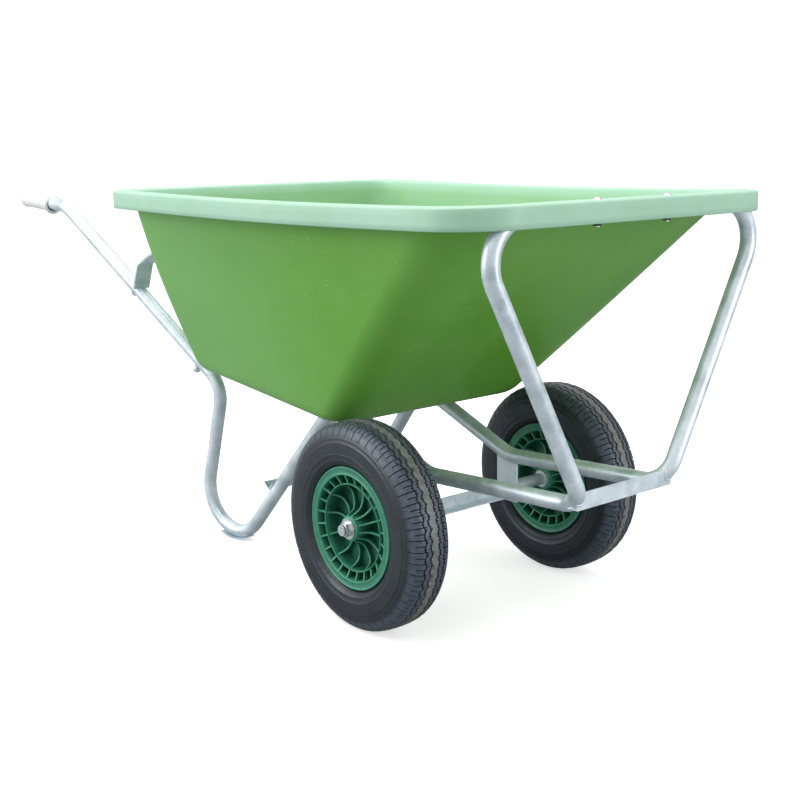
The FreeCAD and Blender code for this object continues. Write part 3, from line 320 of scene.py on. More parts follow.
STEEL = galvanised_steel()
ZINC = zinc_plate()
print("metal finishes", STEEL.name, ZINC.name)

# %% [markdown]
# ## Plastics and rubber
# The tray is a thick, slightly translucent moulding. Its turned-down rim, skirt and
# inside are painted paler and cooler than its flanks, as painted light from the sky
# above, and the flanks are painted paler towards the rear as a painted sheen, so the
# mesh carries a number for how much paler each point is painted, which the finish
# reads. The tyres carry `crown`, which is 1 in the middle of the tread, where dust
# collects, and 0 on the sidewall and inside the cuts. The rims carry `edge`, which is
# 1 along the tops of their ribs and lips, where the plastic is painted paler, partly as
# wear and partly as a painted highlight where the rounded edges catch the light.

# %% Tray plastic
def tray_plastic():
    finish, tree, shader = new_finish("tray_plastic")
    coords = piece_coords(tree)
    broad = noise(tree, coords, 2.6, 2.0)
    cloud = noise(tree, coords, 16.0, 6.0)
    flank = ramp(tree, broad, [(0.30, (0.128, 0.375, 0.036)), (0.55, (0.148, 0.405, 0.048)),
                               (0.75, (0.170, 0.435, 0.064))])
    rim = ramp(tree, broad, [(0.30, (0.365, 0.600, 0.455)), (0.70, (0.410, 0.640, 0.500))])
    # painted light: the lip, skirt and inside are mixed towards the paler rim green as if lit from
    # above, and the rear of the flanks as a painted sheen
    base = mix(tree, own_value(tree, "painted_paleness"), flank, rim)
    shaded = mix(tree, grey_ramp(tree, cloud, 0.0, 0.16, 0.45, 0.72), base,
                 (0.22, 0.47, 0.13))
    scuffs = noise(tree, coords, 60.0, 8.0, (1.0, 1.0, 5.0))
    scuffed = mix(tree, grey_ramp(tree, scuffs, 0.0, 0.35, 0.62, 0.80), shaded,
                  (0.46, 0.66, 0.44))
    tree.links.new(scuffed, shader.inputs["Base Color"])
    tree.links.new(grey_ramp(tree, cloud, 0.36, 0.50, 0.3, 0.7), shader.inputs["Roughness"])
    shader.inputs["Subsurface Weight"].default_value = 0.18
    shader.inputs["Subsurface Radius"].default_value = (0.006, 0.012, 0.004)
    shader.inputs["Specular IOR Level"].default_value = 0.42
    peel = total(tree, noise(tree, coords, 340.0, 2.0), total(tree, cloud, 2.0, "MULTIPLY"))
    add_bump(tree, shader, peel, 0.0004, 0.45)
    return finish


TRAY_GREEN = tray_plastic()
print("tray finish", TRAY_GREEN.name)

# %% Tyre rubber, plain rubber
def tyre_rubber():
    finish, tree, shader = new_finish("tyre_rubber")
    coords = piece_coords(tree)
    cloud = noise(tree, coords, 34.0, 6.0)
    dust = noise(tree, coords, 150.0, 7.0)
    rubber = ramp(tree, cloud, [(0.3, (0.006, 0.007, 0.010)), (0.7, (0.014, 0.017, 0.023))])
    worn = ramp(tree, own_value(tree, "crown"), [
        (0.0, (0.009, 0.011, 0.016)), (0.45, (0.080, 0.094, 0.126)), (1.0, (0.215, 0.222, 0.215))])
    amount = total(tree, grey_ramp(tree, dust, 0.55, 1.0, 0.35, 0.62),
                   grey_ramp(tree, own_value(tree, "crown"), 0.0, 1.0, 0.0, 0.35), "MULTIPLY")
    tree.links.new(mix(tree, amount, rubber, worn), shader.inputs["Base Color"])
    tree.links.new(grey_ramp(tree, dust, 0.30, 0.50, 0.3, 0.7), shader.inputs["Roughness"])
    shader.inputs["Specular IOR Level"].default_value = 0.75
    shader.inputs["Specular Tint"].default_value = (0.80, 0.90, 1.0, 1.0)
    add_bump(tree, shader, total(tree, dust, cloud), 0.0008, 0.6)
    return finish


def plain_rubber():
    finish, tree, shader = new_finish("plain_rubber")
    coords = piece_coords(tree)
    cloud = noise(tree, coords, 90.0, 4.0)
    colour = ramp(tree, cloud, [(0.3, (0.012, 0.012, 0.013)), (0.7, (0.030, 0.030, 0.032))])
    tree.links.new(colour, shader.inputs["Base Color"])
    tree.links.new(grey_ramp(tree, cloud, 0.45, 0.62), shader.inputs["Roughness"])
    add_bump(tree, shader, cloud, 0.0003, 0.5)
    return finish


TYRE_BLACK = tyre_rubber()
TUBE_BLACK = plain_rubber()
print("rubber finishes", TYRE_BLACK.name, TUBE_BLACK.name)

# %% Rim, grip and bush plastics
def moulded(name, dark, light, rough):
    """A satin moulded plastic between two close tones."""
    finish, tree, shader = new_finish(name)
    coords = piece_coords(tree)
    cloud = noise(tree, coords, 70.0, 5.0)
    scuffs = noise(tree, coords, 210.0, 7.0)
    base = ramp(tree, cloud, [(0.3, dark), (0.7, light)])
    pale = tuple(min(1.0, c * 1.25 + 0.05) for c in light)
    scuffed = mix(tree, grey_ramp(tree, scuffs, 0.0, 0.5, 0.62, 0.80), base, pale)
    tree.links.new(scuffed, shader.inputs["Base Color"])
    tree.links.new(grey_ramp(tree, scuffs, rough - 0.07, rough + 0.09, 0.3, 0.7),
                   shader.inputs["Roughness"])
    add_bump(tree, shader, total(tree, cloud, scuffs), 0.0003, 0.4)
    return finish


def rim_plastic():
    """Dark green, painted paler along the edges that the mesh marks with a number called
    edge, partly as wear and partly as a painted highlight where rounded edges catch light.
    """
    finish, tree, shader = new_finish("rim_plastic")
    coords = piece_coords(tree)
    cloud = noise(tree, coords, 70.0, 5.0)
    scuffs = noise(tree, coords, 210.0, 7.0)
    deep = ramp(tree, cloud, [(0.3, (0.006, 0.075, 0.045)), (0.7, (0.012, 0.115, 0.072))])
    pale = ramp(tree, cloud, [(0.3, (0.040, 0.270, 0.165)), (0.7, (0.075, 0.350, 0.230))])
    # the edges are painted paler, partly as wear and partly as a painted highlight
    base = mix(tree, own_value(tree, "edge"), deep, pale)
    scuffed = mix(tree, grey_ramp(tree, scuffs, 0.0, 0.4, 0.62, 0.80), base, (0.16, 0.42, 0.30))
    tree.links.new(scuffed, shader.inputs["Base Color"])
    tree.links.new(grey_ramp(tree, scuffs, 0.32, 0.50, 0.3, 0.7), shader.inputs["Roughness"])
    add_bump(tree, shader, total(tree, cloud, scuffs), 0.0003, 0.4)
    return finish


RIM_GREEN = rim_plastic()
GRIP_GREY = moulded("grip_plastic", (0.74, 0.75, 0.74), (0.84, 0.85, 0.84), 0.45)
BUSH_WHITE = moulded("bush_plastic", (0.44, 0.45, 0.43), (0.56, 0.57, 0.54), 0.40)
# painted shade: a near-black finish for the nuts under the lip, standing for zinc in the tray's
# shadow
NUT_PAINTED_SHADE = moulded("weathered_bolt", (0.030, 0.033, 0.034), (0.090, 0.095, 0.095), 0.45)
print("plastic finishes", RIM_GREEN.name, GRIP_GREY.name, BUSH_WHITE.name)

# %% [markdown]
# ## Finishes on the measured pieces
# Tubes, plates and fasteners are already the right shape, so they keep their meshes
# and only change material.

# %% Dress the measured pieces
DRESS = (
    (STEEL, ("side_tube_left", "side_tube_right", "front_hoop", "tipping_bar", "axle_angle",
             "axle_plate_left", "axle_plate_right", "stub_axle_left", "stub_axle_right",
             "leg_brace", "skid_left", "skid_right", "strap_left", "strap_right")),
    # painted shade: the nuts under the lip get the near-black finish instead of zinc
    (NUT_PAINTED_SHADE, ("rim_nuts",)),
    (ZINC, ("axle_washers", "axle_nuts", "rim_bolts", "floor_bolts",
            "floor_nuts", "strap_bolts", "strap_nuts", "wall_bolts", "wall_nuts")),
    (TUBE_BLACK, ("inner_tube_left", "inner_tube_right", "valve_left", "valve_right")),
    (BUSH_WHITE, ("hub_bush_left", "hub_bush_right")),
)
for finish, names in DRESS:
    for node_name in names:
        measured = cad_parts[node_name]
        measured.data.materials.clear()
        measured.data.materials.append(finish)
print("dressed", sum(len(names) for _, names in DRESS), "measured pieces")

# %% [markdown]
# ## From numbers to a piece
# A new piece is a mesh whose points already stand in their real place, with its
# object at the origin. The helper gives it its finish and its body, and hides the
# measured pieces it stands for.

# %% Piece helpers
def add_piece(name, mesh, finish, body, stands_for=(), sharp=None):
    mesh.materials.clear()
    mesh.materials.append(finish)
    mesh.shade_smooth()
    if sharp is not None:
        mesh.set_sharp_from_angle(angle=math.radians(sharp))
    piece = bpy.data.objects.new(name, mesh)
    bpy.context.scene.collection.objects.link(piece)
    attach(piece, body)
    if stands_for:
        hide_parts(*stands_for)
    return piece


def face_outwards(mesh):
    shell = bmesh.new()
    shell.from_mesh(mesh)
    bmesh.ops.recalc_face_normals(shell, faces=shell.faces)
    shell.to_mesh(mesh)
    shell.free()


def mesh_from_rings(name, rings):
    """Skin over rings of the same number of points; the ends close on their middles."""
    count = len(rings[0])
    points = [tuple(p) for ring in rings for p in ring]
    faces = []
    for level in range(len(rings) - 1):
        for i in range(count):
            j = (i + 1) % count
            faces.append((level * count + i, level * count + j,
                          (level + 1) * count + j, (level + 1) * count + i))
    for level in (0, len(rings) - 1):
        middle = len(points)
        points.append(tuple(np.mean(np.array(rings[level]), axis=0)))
        for i in range(count):
            faces.append((level * count + i, level * count + (i + 1) % count, middle))
    mesh = bpy.data.meshes.new(name)
    mesh.from_pydata(points, [], faces)
    face_outwards(mesh)
    return mesh


print("piece helpers ready")

# %% [markdown]
# ## The tray
# A rotationally moulded tray is one skin: floor, flared walls, a flat lip and a skirt
# turned down all round. Every level of it is a rounded rectangle, so it is built from
# rings with the same number of points. The rings run from the middle of the floor up
# the inside, over the lip, down the skirt, and back under the lip to the underside.
# Plastic walls are never quite flat: the rear corners belly out a little and the long
# lips sag between their supports.

# %% Tray sizes
TRAY_LOW, TRAY_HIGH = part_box("tray")
LIP_TOP = TRAY_HIGH.z
SHEET = 0.005
SKIRT_DEPTH = 0.037
SKIRT_SHEET = 0.004
LIP = dict(front=TRAY_HIGH.x, rear=TRAY_LOW.x, half=TRAY_HIGH.y, front_round=0.112,
           rear_round=0.066)
MOUTH = dict(front=TRAY_HIGH.x - 0.045, rear=TRAY_LOW.x + 0.033, half=TRAY_HIGH.y - 0.035,
             front_round=0.100, rear_round=0.045)
FLOOR = dict(front=TRAY_HIGH.x - 0.531, rear=TRAY_LOW.x + 0.093, half=TRAY_HIGH.y - 0.143,
             front_round=0.062, rear_round=0.055)
FLOOR_FRONT_HEIGHT = 0.366
FLOOR_REAR_HEIGHT = 0.414
# how much longer a step up through the sheet is on the sloping floor
FLOOR_SLANT = 1.004
CORNER_STEPS = 18
END_STEPS = 18
FLANK_STEPS = 34
print("tray", round(TRAY_HIGH.x - TRAY_LOW.x, 3), "m long, lip at", round(LIP_TOP, 3))


# %% Rings of the tray
def rounded_outline(front, rear, half, front_round, rear_round, inset=0.0):
    """Points round a rounded rectangle, anticlockwise from the front right corner."""
    front, rear, half = front - inset, rear + inset, half - inset
    front_round = max(front_round - inset, 0.002)
    rear_round = max(rear_round - inset, 0.002)
    corners = ((front - front_round, -half + front_round, front_round, -90),
               (front - front_round, half - front_round, front_round, 0),
               (rear + rear_round, half - rear_round, rear_round, 90),
               (rear + rear_round, -half + rear_round, rear_round, 180))
    arcs = []
    for x, y, radius, start in corners:
        turns = np.radians(start + np.linspace(0, 90, CORNER_STEPS + 1))
        arcs.append(np.stack([x + radius * np.cos(turns), y + radius * np.sin(turns)], 1))
    outline = []
    for arc, following, steps in zip(arcs, arcs[1:] + arcs[:1],
                                     (END_STEPS, FLANK_STEPS, END_STEPS, FLANK_STEPS)):
        outline.append(arc)
        along = np.linspace(0, 1, steps + 1)[1:-1, None]
        outline.append(arc[-1] * (1 - along) + following[0] * along)
    return np.concatenate(outline)


def outline_normals(outline):
    """Outward directions, level with the ground."""
    run = np.roll(outline, -1, 0) - np.roll(outline, 1, 0)
    out = np.stack([run[:, 1], -run[:, 0]], 1)
    return out / np.linalg.norm(out, axis=1)[:, None]


def at_height(outline, height):
    """Stand a flat outline at one height, or at one height for each point."""
    return np.column_stack([outline, np.broadcast_to(height, len(outline))])


def floor_height(x):
    share = (x - FLOOR["rear"]) / (FLOOR["front"] - FLOOR["rear"])
    return FLOOR_REAR_HEIGHT + (FLOOR_FRONT_HEIGHT - FLOOR_REAR_HEIGHT) * share


print("outline points", len(rounded_outline(**LIP)))

# %% Walls, lip and skirt
REAR_BELLY = 0.009
FLANK_BELLY = 0.004
LIP_SAG = 0.007
WALL_LEVELS = 18
FLOOR_ROUND = 0.034
MOUTH_ROUND = 0.006
LIP_EDGE_ROUND = 0.0045
# how far the skirt's lower edge is rounded, and the fillet inside its upper corner
SKIRT_HEM = 0.0020
FILLET_DROP = 0.004
FILLET_WIDTH = 0.003
FLOOR_SHARES = (0.08, 0.3, 0.55, 0.8)
ROUND_STEPS = 8
# the rear's belly eases to the flanks' over this length, and fades along the nose
BELLY_LENGTH = 0.22
BELLY_EASE = 0.7
NOSE_STARTS = 0.45
NOSE_LENGTH = 0.3
NOSE_FLATNESS = 0.8
# the lip sags beyond this distance from the middle plane, and above this height
SAG_STARTS = 0.25
SAG_FADE = 0.12
SAG_HEIGHT = 0.5
SAG_RISE = 0.25
# how much paler the inside and the lip are painted, as painted light from the sky above
INSIDE_PAINTED_LIGHT = 0.55
LIP_PAINTED_LIGHT = 1.0
# the flanks are painted paler and hazier towards the rear, as a painted sheen
SHEEN_STARTS = 0.42
SHEEN_LENGTH = 0.45
FLANK_PAINTED_SHEEN = 0.16


def belly(points, level):
    """How far the wall stands out, strongest half-way up and towards the rear."""
    rear_share = np.clip((MOUTH["rear"] + BELLY_LENGTH - points[:, 0]) / BELLY_LENGTH, 0, 1)
    swell = FLANK_BELLY + (REAR_BELLY - FLANK_BELLY) * rear_share ** BELLY_EASE
    front_share = np.clip((points[:, 0] - NOSE_STARTS) / NOSE_LENGTH, 0, 1)
    return swell * (1 - NOSE_FLATNESS * front_share) * math.sin(math.pi * level)


def wall_rings(inset):
    """Rings from the middle of the floor up to just under the lip."""
    mouth = rounded_outline(**MOUTH, inset=inset)
    foot = rounded_outline(**FLOOR, inset=inset)
    rise = inset * FLOOR_SLANT
    top = at_height(mouth, LIP_TOP if inset else LIP_TOP - SHEET)
    bottom = at_height(foot, floor_height(foot[:, 0]) + rise)
    outward = np.column_stack([outline_normals(mouth), np.zeros(len(mouth))])
    slope = top - bottom
    length = np.linalg.norm(slope, axis=1)[:, None]
    upward = slope / length
    inward = -np.column_stack([outline_normals(foot), np.zeros(len(foot))])
    inward[:, 2] = (floor_height(foot[:, 0] + inward[:, 0]) - floor_height(foot[:, 0]))
    rounding = FLOOR_ROUND - inset * 0.5
    flat_end = bottom + inward * rounding
    wall_start = bottom + upward * rounding
    middle = flat_end.mean(axis=0)
    rings = [middle + (flat_end - middle) * share for share in FLOOR_SHARES]
    for u in np.linspace(0, 1, ROUND_STEPS):
        rings.append(flat_end * (1 - u) ** 2 + bottom * 2 * u * (1 - u) + wall_start * u ** 2)
    wall_end = top - upward * MOUTH_ROUND
    for step in range(1, WALL_LEVELS + 1):
        level = step / WALL_LEVELS
        ring = wall_start * (1 - level) + wall_end * level
        rings.append(ring + outward * belly(ring, level)[:, None])
    return rings, top, outward


def lip_ring(share, height, inset=0.0):
    """A ring part of the way from the mouth out to the lip's edge."""
    mouth = rounded_outline(**MOUTH, inset=SHEET)
    edge = rounded_outline(**LIP, inset=inset)
    return at_height(mouth * (1 - share) + edge * share, height)


def tray_rings():
    """All rings, and which stretch of them is the lip and the outside of the skirt."""
    inside, mouth_top, outward = wall_rings(SHEET)
    under, _, _ = wall_rings(0.0)
    rings = list(inside)
    end = inside[-1]
    over = mouth_top + outward * MOUTH_ROUND
    for u in (0.25, 0.5, 0.75, 1.0):
        rings.append(end * (1 - u) ** 2 + mouth_top * 2 * u * (1 - u) + over * u ** 2)
    for share in (0.35, 0.6, 0.8):
        rings.append(lip_ring(share, LIP_TOP))
    for turn in np.radians((0, 22, 45, 68, 90)):
        rings.append(lip_ring(1.0, LIP_TOP - LIP_EDGE_ROUND * (1 - math.cos(turn)),
                              LIP_EDGE_ROUND * (1 - math.sin(turn))))
    bottom = LIP_TOP - SKIRT_DEPTH
    for share in (0.35, 0.7, 0.95):
        drop = LIP_EDGE_ROUND + (SKIRT_DEPTH - LIP_EDGE_ROUND) * share
        rings.append(lip_ring(1.0, LIP_TOP - drop))
    hem = SKIRT_HEM
    rings.append(lip_ring(1.0, bottom + hem / 5, hem / 2))
    rings.append(lip_ring(1.0, bottom, hem))
    rings.append(lip_ring(1.0, bottom + hem / 5, SKIRT_SHEET - hem * 0.4))
    rings.append(lip_ring(1.0, bottom + hem, SKIRT_SHEET))
    skirt_end = len(rings)
    rings.append(lip_ring(1.0, LIP_TOP - SHEET - FILLET_DROP, SKIRT_SHEET))
    rings.append(lip_ring(1.0, LIP_TOP - SHEET, SKIRT_SHEET + FILLET_WIDTH))
    under_lip = at_height(rounded_outline(**MOUTH), LIP_TOP - SHEET)
    for share in (0.6, 0.25):
        rings.append(rings[-1] * share + under_lip * (1 - share))
    rings.extend(reversed(under))
    return rings, len(inside), skirt_end


def sag(ring):
    """The long lips drop between their supports; the floor and the ends stay."""
    span = (ring[:, 0] - LIP["rear"]) / (LIP["front"] - LIP["rear"])
    beside = np.clip((np.abs(ring[:, 1]) - SAG_STARTS) / SAG_FADE, 0, 1)
    up = np.clip((ring[:, 2] - SAG_HEIGHT) / SAG_RISE, 0, 1)
    drop = LIP_SAG * np.sin(np.pi * np.clip(span, 0, 1)) * beside * up
    return ring - np.column_stack([np.zeros((len(ring), 2)), drop])


def make_tray():
    rings, inside_rings, skirt_rings = tray_rings()
    rings = [sag(ring) for ring in rings]
    mesh = mesh_from_rings("tray_moulding", rings)
    count = len(rings[0])
    shade = np.zeros(len(mesh.vertices), np.float32)
    # painted light: the inside, and fully the lip and outer skirt, are painted paler as if lit by
    # the sky above
    shade[:inside_rings * count] = INSIDE_PAINTED_LIGHT
    shade[(inside_rings - 1) * count:skirt_rings * count] = LIP_PAINTED_LIGHT
    spots = np.empty(len(mesh.vertices) * 3, np.float32)
    mesh.vertices.foreach_get("co", spots)
    # painted sheen: the flanks and underside are painted paler towards the rear
    painted_sheen = np.clip((SHEEN_STARTS - spots[0::3]) / SHEEN_LENGTH, 0, 1) * FLANK_PAINTED_SHEEN
    shade[skirt_rings * count:] = painted_sheen[skirt_rings * count:]
    store = mesh.attributes.new("painted_paleness", "FLOAT", "POINT")
    store.data.foreach_set("value", shade)
    return add_piece("tray_moulding", mesh, TRAY_GREEN, "frame", ("tray",))


TRAY = make_tray()
print("tray faces", len(TRAY.data.polygons))

# %% [markdown]
# ## Copies round an axle
# A tyre's tread repeats every few degrees, and so do a rim's ribs. A Geometry Nodes
# tree sets copies of one slice round the axle, joins them into one mesh, merges the
# points where neighbours meet, and gives the finish. Its inputs are the count, the
# axle's place and the material.

# %% The tree that repeats a slice round an axle
def new_tree(name, inputs):
    tree = bpy.data.node_groups.new(name, "GeometryNodeTree")
    sockets = tree.interface
    sockets.new_socket("Geometry", in_out="INPUT", socket_type="NodeSocketGeometry")
    for label, kind, value in inputs:
        socket = sockets.new_socket(label, in_out="INPUT", socket_type=kind)
        if value is not None:
            socket.default_value = value
    sockets.new_socket("Geometry", in_out="OUTPUT", socket_type="NodeSocketGeometry")
    return tree, tree.nodes.new("NodeGroupInput"), tree.nodes.new("NodeGroupOutput")


MERGE_DISTANCE = 0.00002


def round_axle_tree():
    tree, given, result = new_tree("round_axle", (
        ("Count", "NodeSocketInt", 12), ("Axle", "NodeSocketVector", (0.0, 0.0, 0.0)),
        ("Finish", "NodeSocketMaterial", None)))
    link = tree.links.new
    spots = tree.nodes.new("GeometryNodeMeshLine")
    spots.inputs["Offset"].default_value = (0.0, 0.0, 0.0)
    link(given.outputs["Count"], spots.inputs["Count"])
    index = tree.nodes.new("GeometryNodeInputIndex")
    step = tree.nodes.new("ShaderNodeMath")
    step.operation = "DIVIDE"
    step.inputs[0].default_value = 2 * math.pi
    link(given.outputs["Count"], step.inputs[1])
    turn = tree.nodes.new("ShaderNodeMath")
    turn.operation = "MULTIPLY"
    link(index.outputs["Index"], turn.inputs[0])
    link(step.outputs["Value"], turn.inputs[1])
    spin = tree.nodes.new("ShaderNodeCombineXYZ")
    link(turn.outputs["Value"], spin.inputs["Y"])
    copies = tree.nodes.new("GeometryNodeInstanceOnPoints")
    link(spots.outputs["Mesh"], copies.inputs["Points"])
    link(given.outputs["Geometry"], copies.inputs["Instance"])
    link(spin.outputs["Vector"], copies.inputs["Rotation"])
    real = tree.nodes.new("GeometryNodeRealizeInstances")
    link(copies.outputs["Instances"], real.inputs["Geometry"])
    merged = tree.nodes.new("GeometryNodeMergeByDistance")
    merged.inputs["Distance"].default_value = MERGE_DISTANCE
    link(real.outputs["Geometry"], merged.inputs["Geometry"])
    moved = tree.nodes.new("GeometryNodeTransform")
    link(merged.outputs["Geometry"], moved.inputs["Geometry"])
    link(given.outputs["Axle"], moved.inputs["Translation"])
    paint = tree.nodes.new("GeometryNodeSetMaterial")
    link(moved.outputs["Geometry"], paint.inputs["Geometry"])
    link(given.outputs["Finish"], paint.inputs["Material"])
    link(paint.outputs["Geometry"], result.inputs["Geometry"])
    return tree


def grow(name, source, tree, **values):
    """Run a tree on a mesh or curve and give back a plain mesh."""
    holder = bpy.data.objects.new(name, source)
    bpy.context.scene.collection.objects.link(holder)
    modifier = holder.modifiers.new("grow", "NODES")
    modifier.node_group = tree
    for item in tree.interface.items_tree:
        if item.in_out == "INPUT" and item.name.replace(" ", "_") in values:
            modifier[item.identifier] = values[item.name.replace(" ", "_")]
    grown = holder.evaluated_get(bpy.context.evaluated_depsgraph_get())
    mesh = bpy.data.meshes.new_from_object(grown)
    bpy.data.objects.remove(holder)
    mesh.name = name
    return mesh


ROUND_AXLE = round_axle_tree()
print("tree", ROUND_AXLE.name, "with", len(ROUND_AXLE.nodes), "nodes")

# %% [markdown]
# ## The tyres
# A barrow tyre has a smooth belly, fine rings on its sidewall, and a road tread:
# three zigzag ribs with grooves between them, and shoulders cut by narrow slits.
# One pitch of the tread is drawn as columns of points, each a full section of the
# tyre. A column can shift its ribs sideways, which makes the zigzag, or sink some of
# its points, which makes a slit or a notch.

# %% Section of the tyre
PITCHES = 56
ZIGZAG = 0.0014
CUT_DEPTH = 0.0045
# half of the outer skin from the crown to the bead, in millimetres:
# (across, radius, zigzag share)
OUTER_SKIN = (
    (0.0, 200.0, 1), (4.4, 200.0, 1), (4.8, 200.0, 1), (7.4, 199.6, 1), (8.0, 194.4, 1),
    (10.2, 194.2, 1), (10.8, 199.4, 1), (13.0, 199.5, 1), (13.4, 199.5, 1), (16.4, 199.3, 1),
    (16.8, 199.3, 1), (19.6, 198.7, 1), (20.2, 193.6, 1), (22.2, 193.4, 1),
    (22.8, 198.2, 1), (25.6, 198.0, 0.6), (26.0, 198.0, 0.6), (30.5, 196.4, 0.1),
    (34.0, 194.1, 0), (37.0, 191.0, 0), (37.6, 190.4, 0), (40.2, 186.4, 0),
    (42.4, 181.8, 0), (44.0, 177.4, 0), (44.4, 176.2, 0), (45.2, 173.4, 0), (45.5, 172.4, 0),
    (46.0, 171.8, 0), (46.2, 170.8, 0), (46.1, 169.8, 0), (47.1, 163.4, 0), (47.6, 162.8, 0),
    (47.5, 161.6, 0), (48.0, 153.0, 0), (47.9, 147.0, 0), (47.2, 142.0, 0), (47.5, 141.2, 0),
    (47.0, 140.0, 0), (46.3, 134.6, 0), (45.5, 131.4, 0), (45.7, 130.4, 0), (44.8, 129.0, 0),
    (42.4, 125.0, 0), (39.4, 121.6, 0), (34.4, 118.9, 0), (33.9, 101.9, 0), (23.5, 101.9, 0),
)
# half of the inner skin from the bead back to the crown
INNER_SKIN = (
    (27.0, 113.5), (36.5, 131.0), (40.0, 150.0), (35.6, 170.5), (18.0, 182.6), (0.0, 184.2),
)
# which widths each kind of cut crosses, in millimetres: the long and short slits of
# the shoulder, and two sets of small notches in the edges of the ribs
CUTS = dict(long=((16.6, 44.2),), short=((10.4, 13.2), (22.6, 37.3)),
            inner=((4.6, 7.6), (16.6, 20.0)), outer=((10.4, 13.2), (22.6, 25.8)), none=())
# columns of one pitch: (share of the pitch, zigzag, kind of cut)
COLUMNS = ((0.0, 0.0, "long"), (0.048, 1.0, "none"), (0.20, 1.0, "none"), (0.25, 1.0, "inner"),
           (0.29, 1.0, "none"), (0.452, 1.0, "none"), (0.50, 0.0, "short"),
           (0.548, -1.0, "none"), (0.71, -1.0, "none"), (0.75, -1.0, "outer"),
           (0.80, -1.0, "none"), (0.952, -1.0, "none"), (1.0, 0.0, "long"))
# radii and widths, in metres, that tell where a point of the section lies
RIB_TOPS = 0.1965
SHOULDER_FOOT = 0.176
SHOULDER_STARTS = 0.024
DUST_FOOT = 0.172
DUST_FADE = 0.012
MIDDLE_RIB_HALF = 0.0078
OUTER_GROOVE_EDGE = 0.0225
print("tyre section rows", 2 * len(OUTER_SKIN) + 2 * len(INNER_SKIN))


# %% One slice of tyre, and the whole
def tyre_section():
    """The closed section as (across, radius, zigzag share) rows in metres."""
    right = [(y / 1000, r / 1000, z) for y, r, z in OUTER_SKIN]
    inner = [(y / 1000, r / 1000, 0) for y, r in INNER_SKIN]
    left = [(-y, r, z) for y, r, z in right[1:]]
    inner_left = [(-y, r, 0) for y, r, _ in inner[:-1]]
    return right + inner + list(reversed(inner_left)) + list(reversed(left))


def is_cut(across, radius, kind):
    width = abs(across)
    on_shoulder = width > SHOULDER_STARTS and radius > SHOULDER_FOOT
    crossed = any(start < width * 1000 < end for start, end in CUTS[kind])
    return crossed and (radius > RIB_TOPS or on_shoulder)


def crown_share(across, radius):
    """How dusty a point is: full on the middle rib, half beside it, less down the side."""
    if radius > RIB_TOPS:
        return 1.0 if abs(across) < MIDDLE_RIB_HALF else 0.5
    if abs(across) < OUTER_GROOVE_EDGE:
        return 0.0
    return 0.45 * min(1.0, max(0.0, (radius - DUST_FOOT) / DUST_FADE))


def tyre_slice():
    section = tyre_section()
    angle = 2 * math.pi / PITCHES
    points, dust, faces = [], [], []
    for share, zigzag, kind in COLUMNS:
        turn = share * angle
        for across, radius, zig_part in section:
            y = across + ZIGZAG * zigzag * zig_part
            cut = is_cut(across, radius, kind)
            r = radius - CUT_DEPTH * cut
            points.append((r * math.sin(turn), y, r * math.cos(turn)))
            dust.append(0.0 if cut else crown_share(across, radius))
    rows = len(section)
    for column in range(len(COLUMNS) - 1):
        for row in range(rows):
            following = (row + 1) % rows
            faces.append((column * rows + row, (column + 1) * rows + row,
                          (column + 1) * rows + following, column * rows + following))
    mesh = bpy.data.meshes.new("tyre_slice")
    mesh.from_pydata(points, [], faces)
    store = mesh.attributes.new("crown", "FLOAT", "POINT")
    store.data.foreach_set("value", np.array(dust, np.float32))
    return mesh


def wheel_middle(side):
    low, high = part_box("tyre_" + side)
    return (low + high) / 2


def make_tyres():
    tyres = []
    piece_slice = tyre_slice()
    for side, _ in SIDES:
        name = "treaded_tyre_" + side
        mesh = grow(name, piece_slice, ROUND_AXLE, Count=PITCHES,
                    Axle=tuple(wheel_middle(side)), Finish=TYRE_BLACK)
        face_outwards(mesh)
        tyres.append(add_piece(name, mesh, TYRE_BLACK, "wheel_" + side,
                               ("tyre_" + side,), sharp=32))
    return tyres


for tyre in make_tyres():
    print(tyre.name, len(tyre.data.polygons), "faces")

# %% [markdown]
# ## The rims
# A moulded rim has a barrel that carries the tyre, a flat lip with a raised outer
# edge, a thin ring inside the lip, and a hub. Short ribs join the lip to the ring and
# long dished ribs join the ring to the hub, with a thin web behind them all. One
# twelfth of it is drawn, then repeated round the axle by the same tree. The points
# near an outer edge carry the number `edge`, which the finish paints paler, partly as
# wear and partly as a painted highlight where the rounded edges catch the light.

# %% Rim sizes
RIM_PARTS = 12
ARC_STEPS = 10
RIB_HALF = 0.0017
RIB_ROUND = 0.0006
WEB_HALF = 0.003
# closed sections turned round the axle, in millimetres: (across, radius, edge)
LIP_HALF = (
    (0.0, 101.6, 0), (33.6, 101.6, 0), (34.3, 102.2, 0), (34.7, 112.0, 0), (35.2, 116.2, 0.5),
    (36.0, 117.2, 1), (38.2, 117.3, 1), (39.1, 116.9, 1), (39.5, 116.1, 1), (39.5, 115.1, 1),
    (39.0, 114.3, 0.7), (38.4, 113.4, 0.5), (38.2, 108.5, 0.5), (38.4, 104.6, 0.55),
    (39.1, 103.6, 0.9), (39.4, 102.8, 1), (39.1, 101.9, 1), (38.0, 101.2, 0.7),
    (34.0, 99.8, 0.25), (20.0, 99.2, 0), (0.0, 99.2, 0),
)
RING_HALF = ((0.0, 84.7, 0), (20.0, 84.7, 0.1), (32.2, 84.5, 0.7), (33.2, 84.0, 1),
             (33.4, 83.4, 1), (33.0, 82.6, 1), (32.0, 82.3, 0.7), (20.0, 82.3, 0.1),
             (0.0, 82.3, 0))
HUB_HALF = ((0.0, 24.0, 0), (20.0, 24.0, 0.2), (37.6, 23.8, 0.7), (38.9, 23.1, 1),
            (39.5, 21.8, 1), (39.5, 15.2, 0.8), (38.9, 13.9, 0.6), (37.6, 13.1, 0.2),
            (0.0, 13.1, 0))
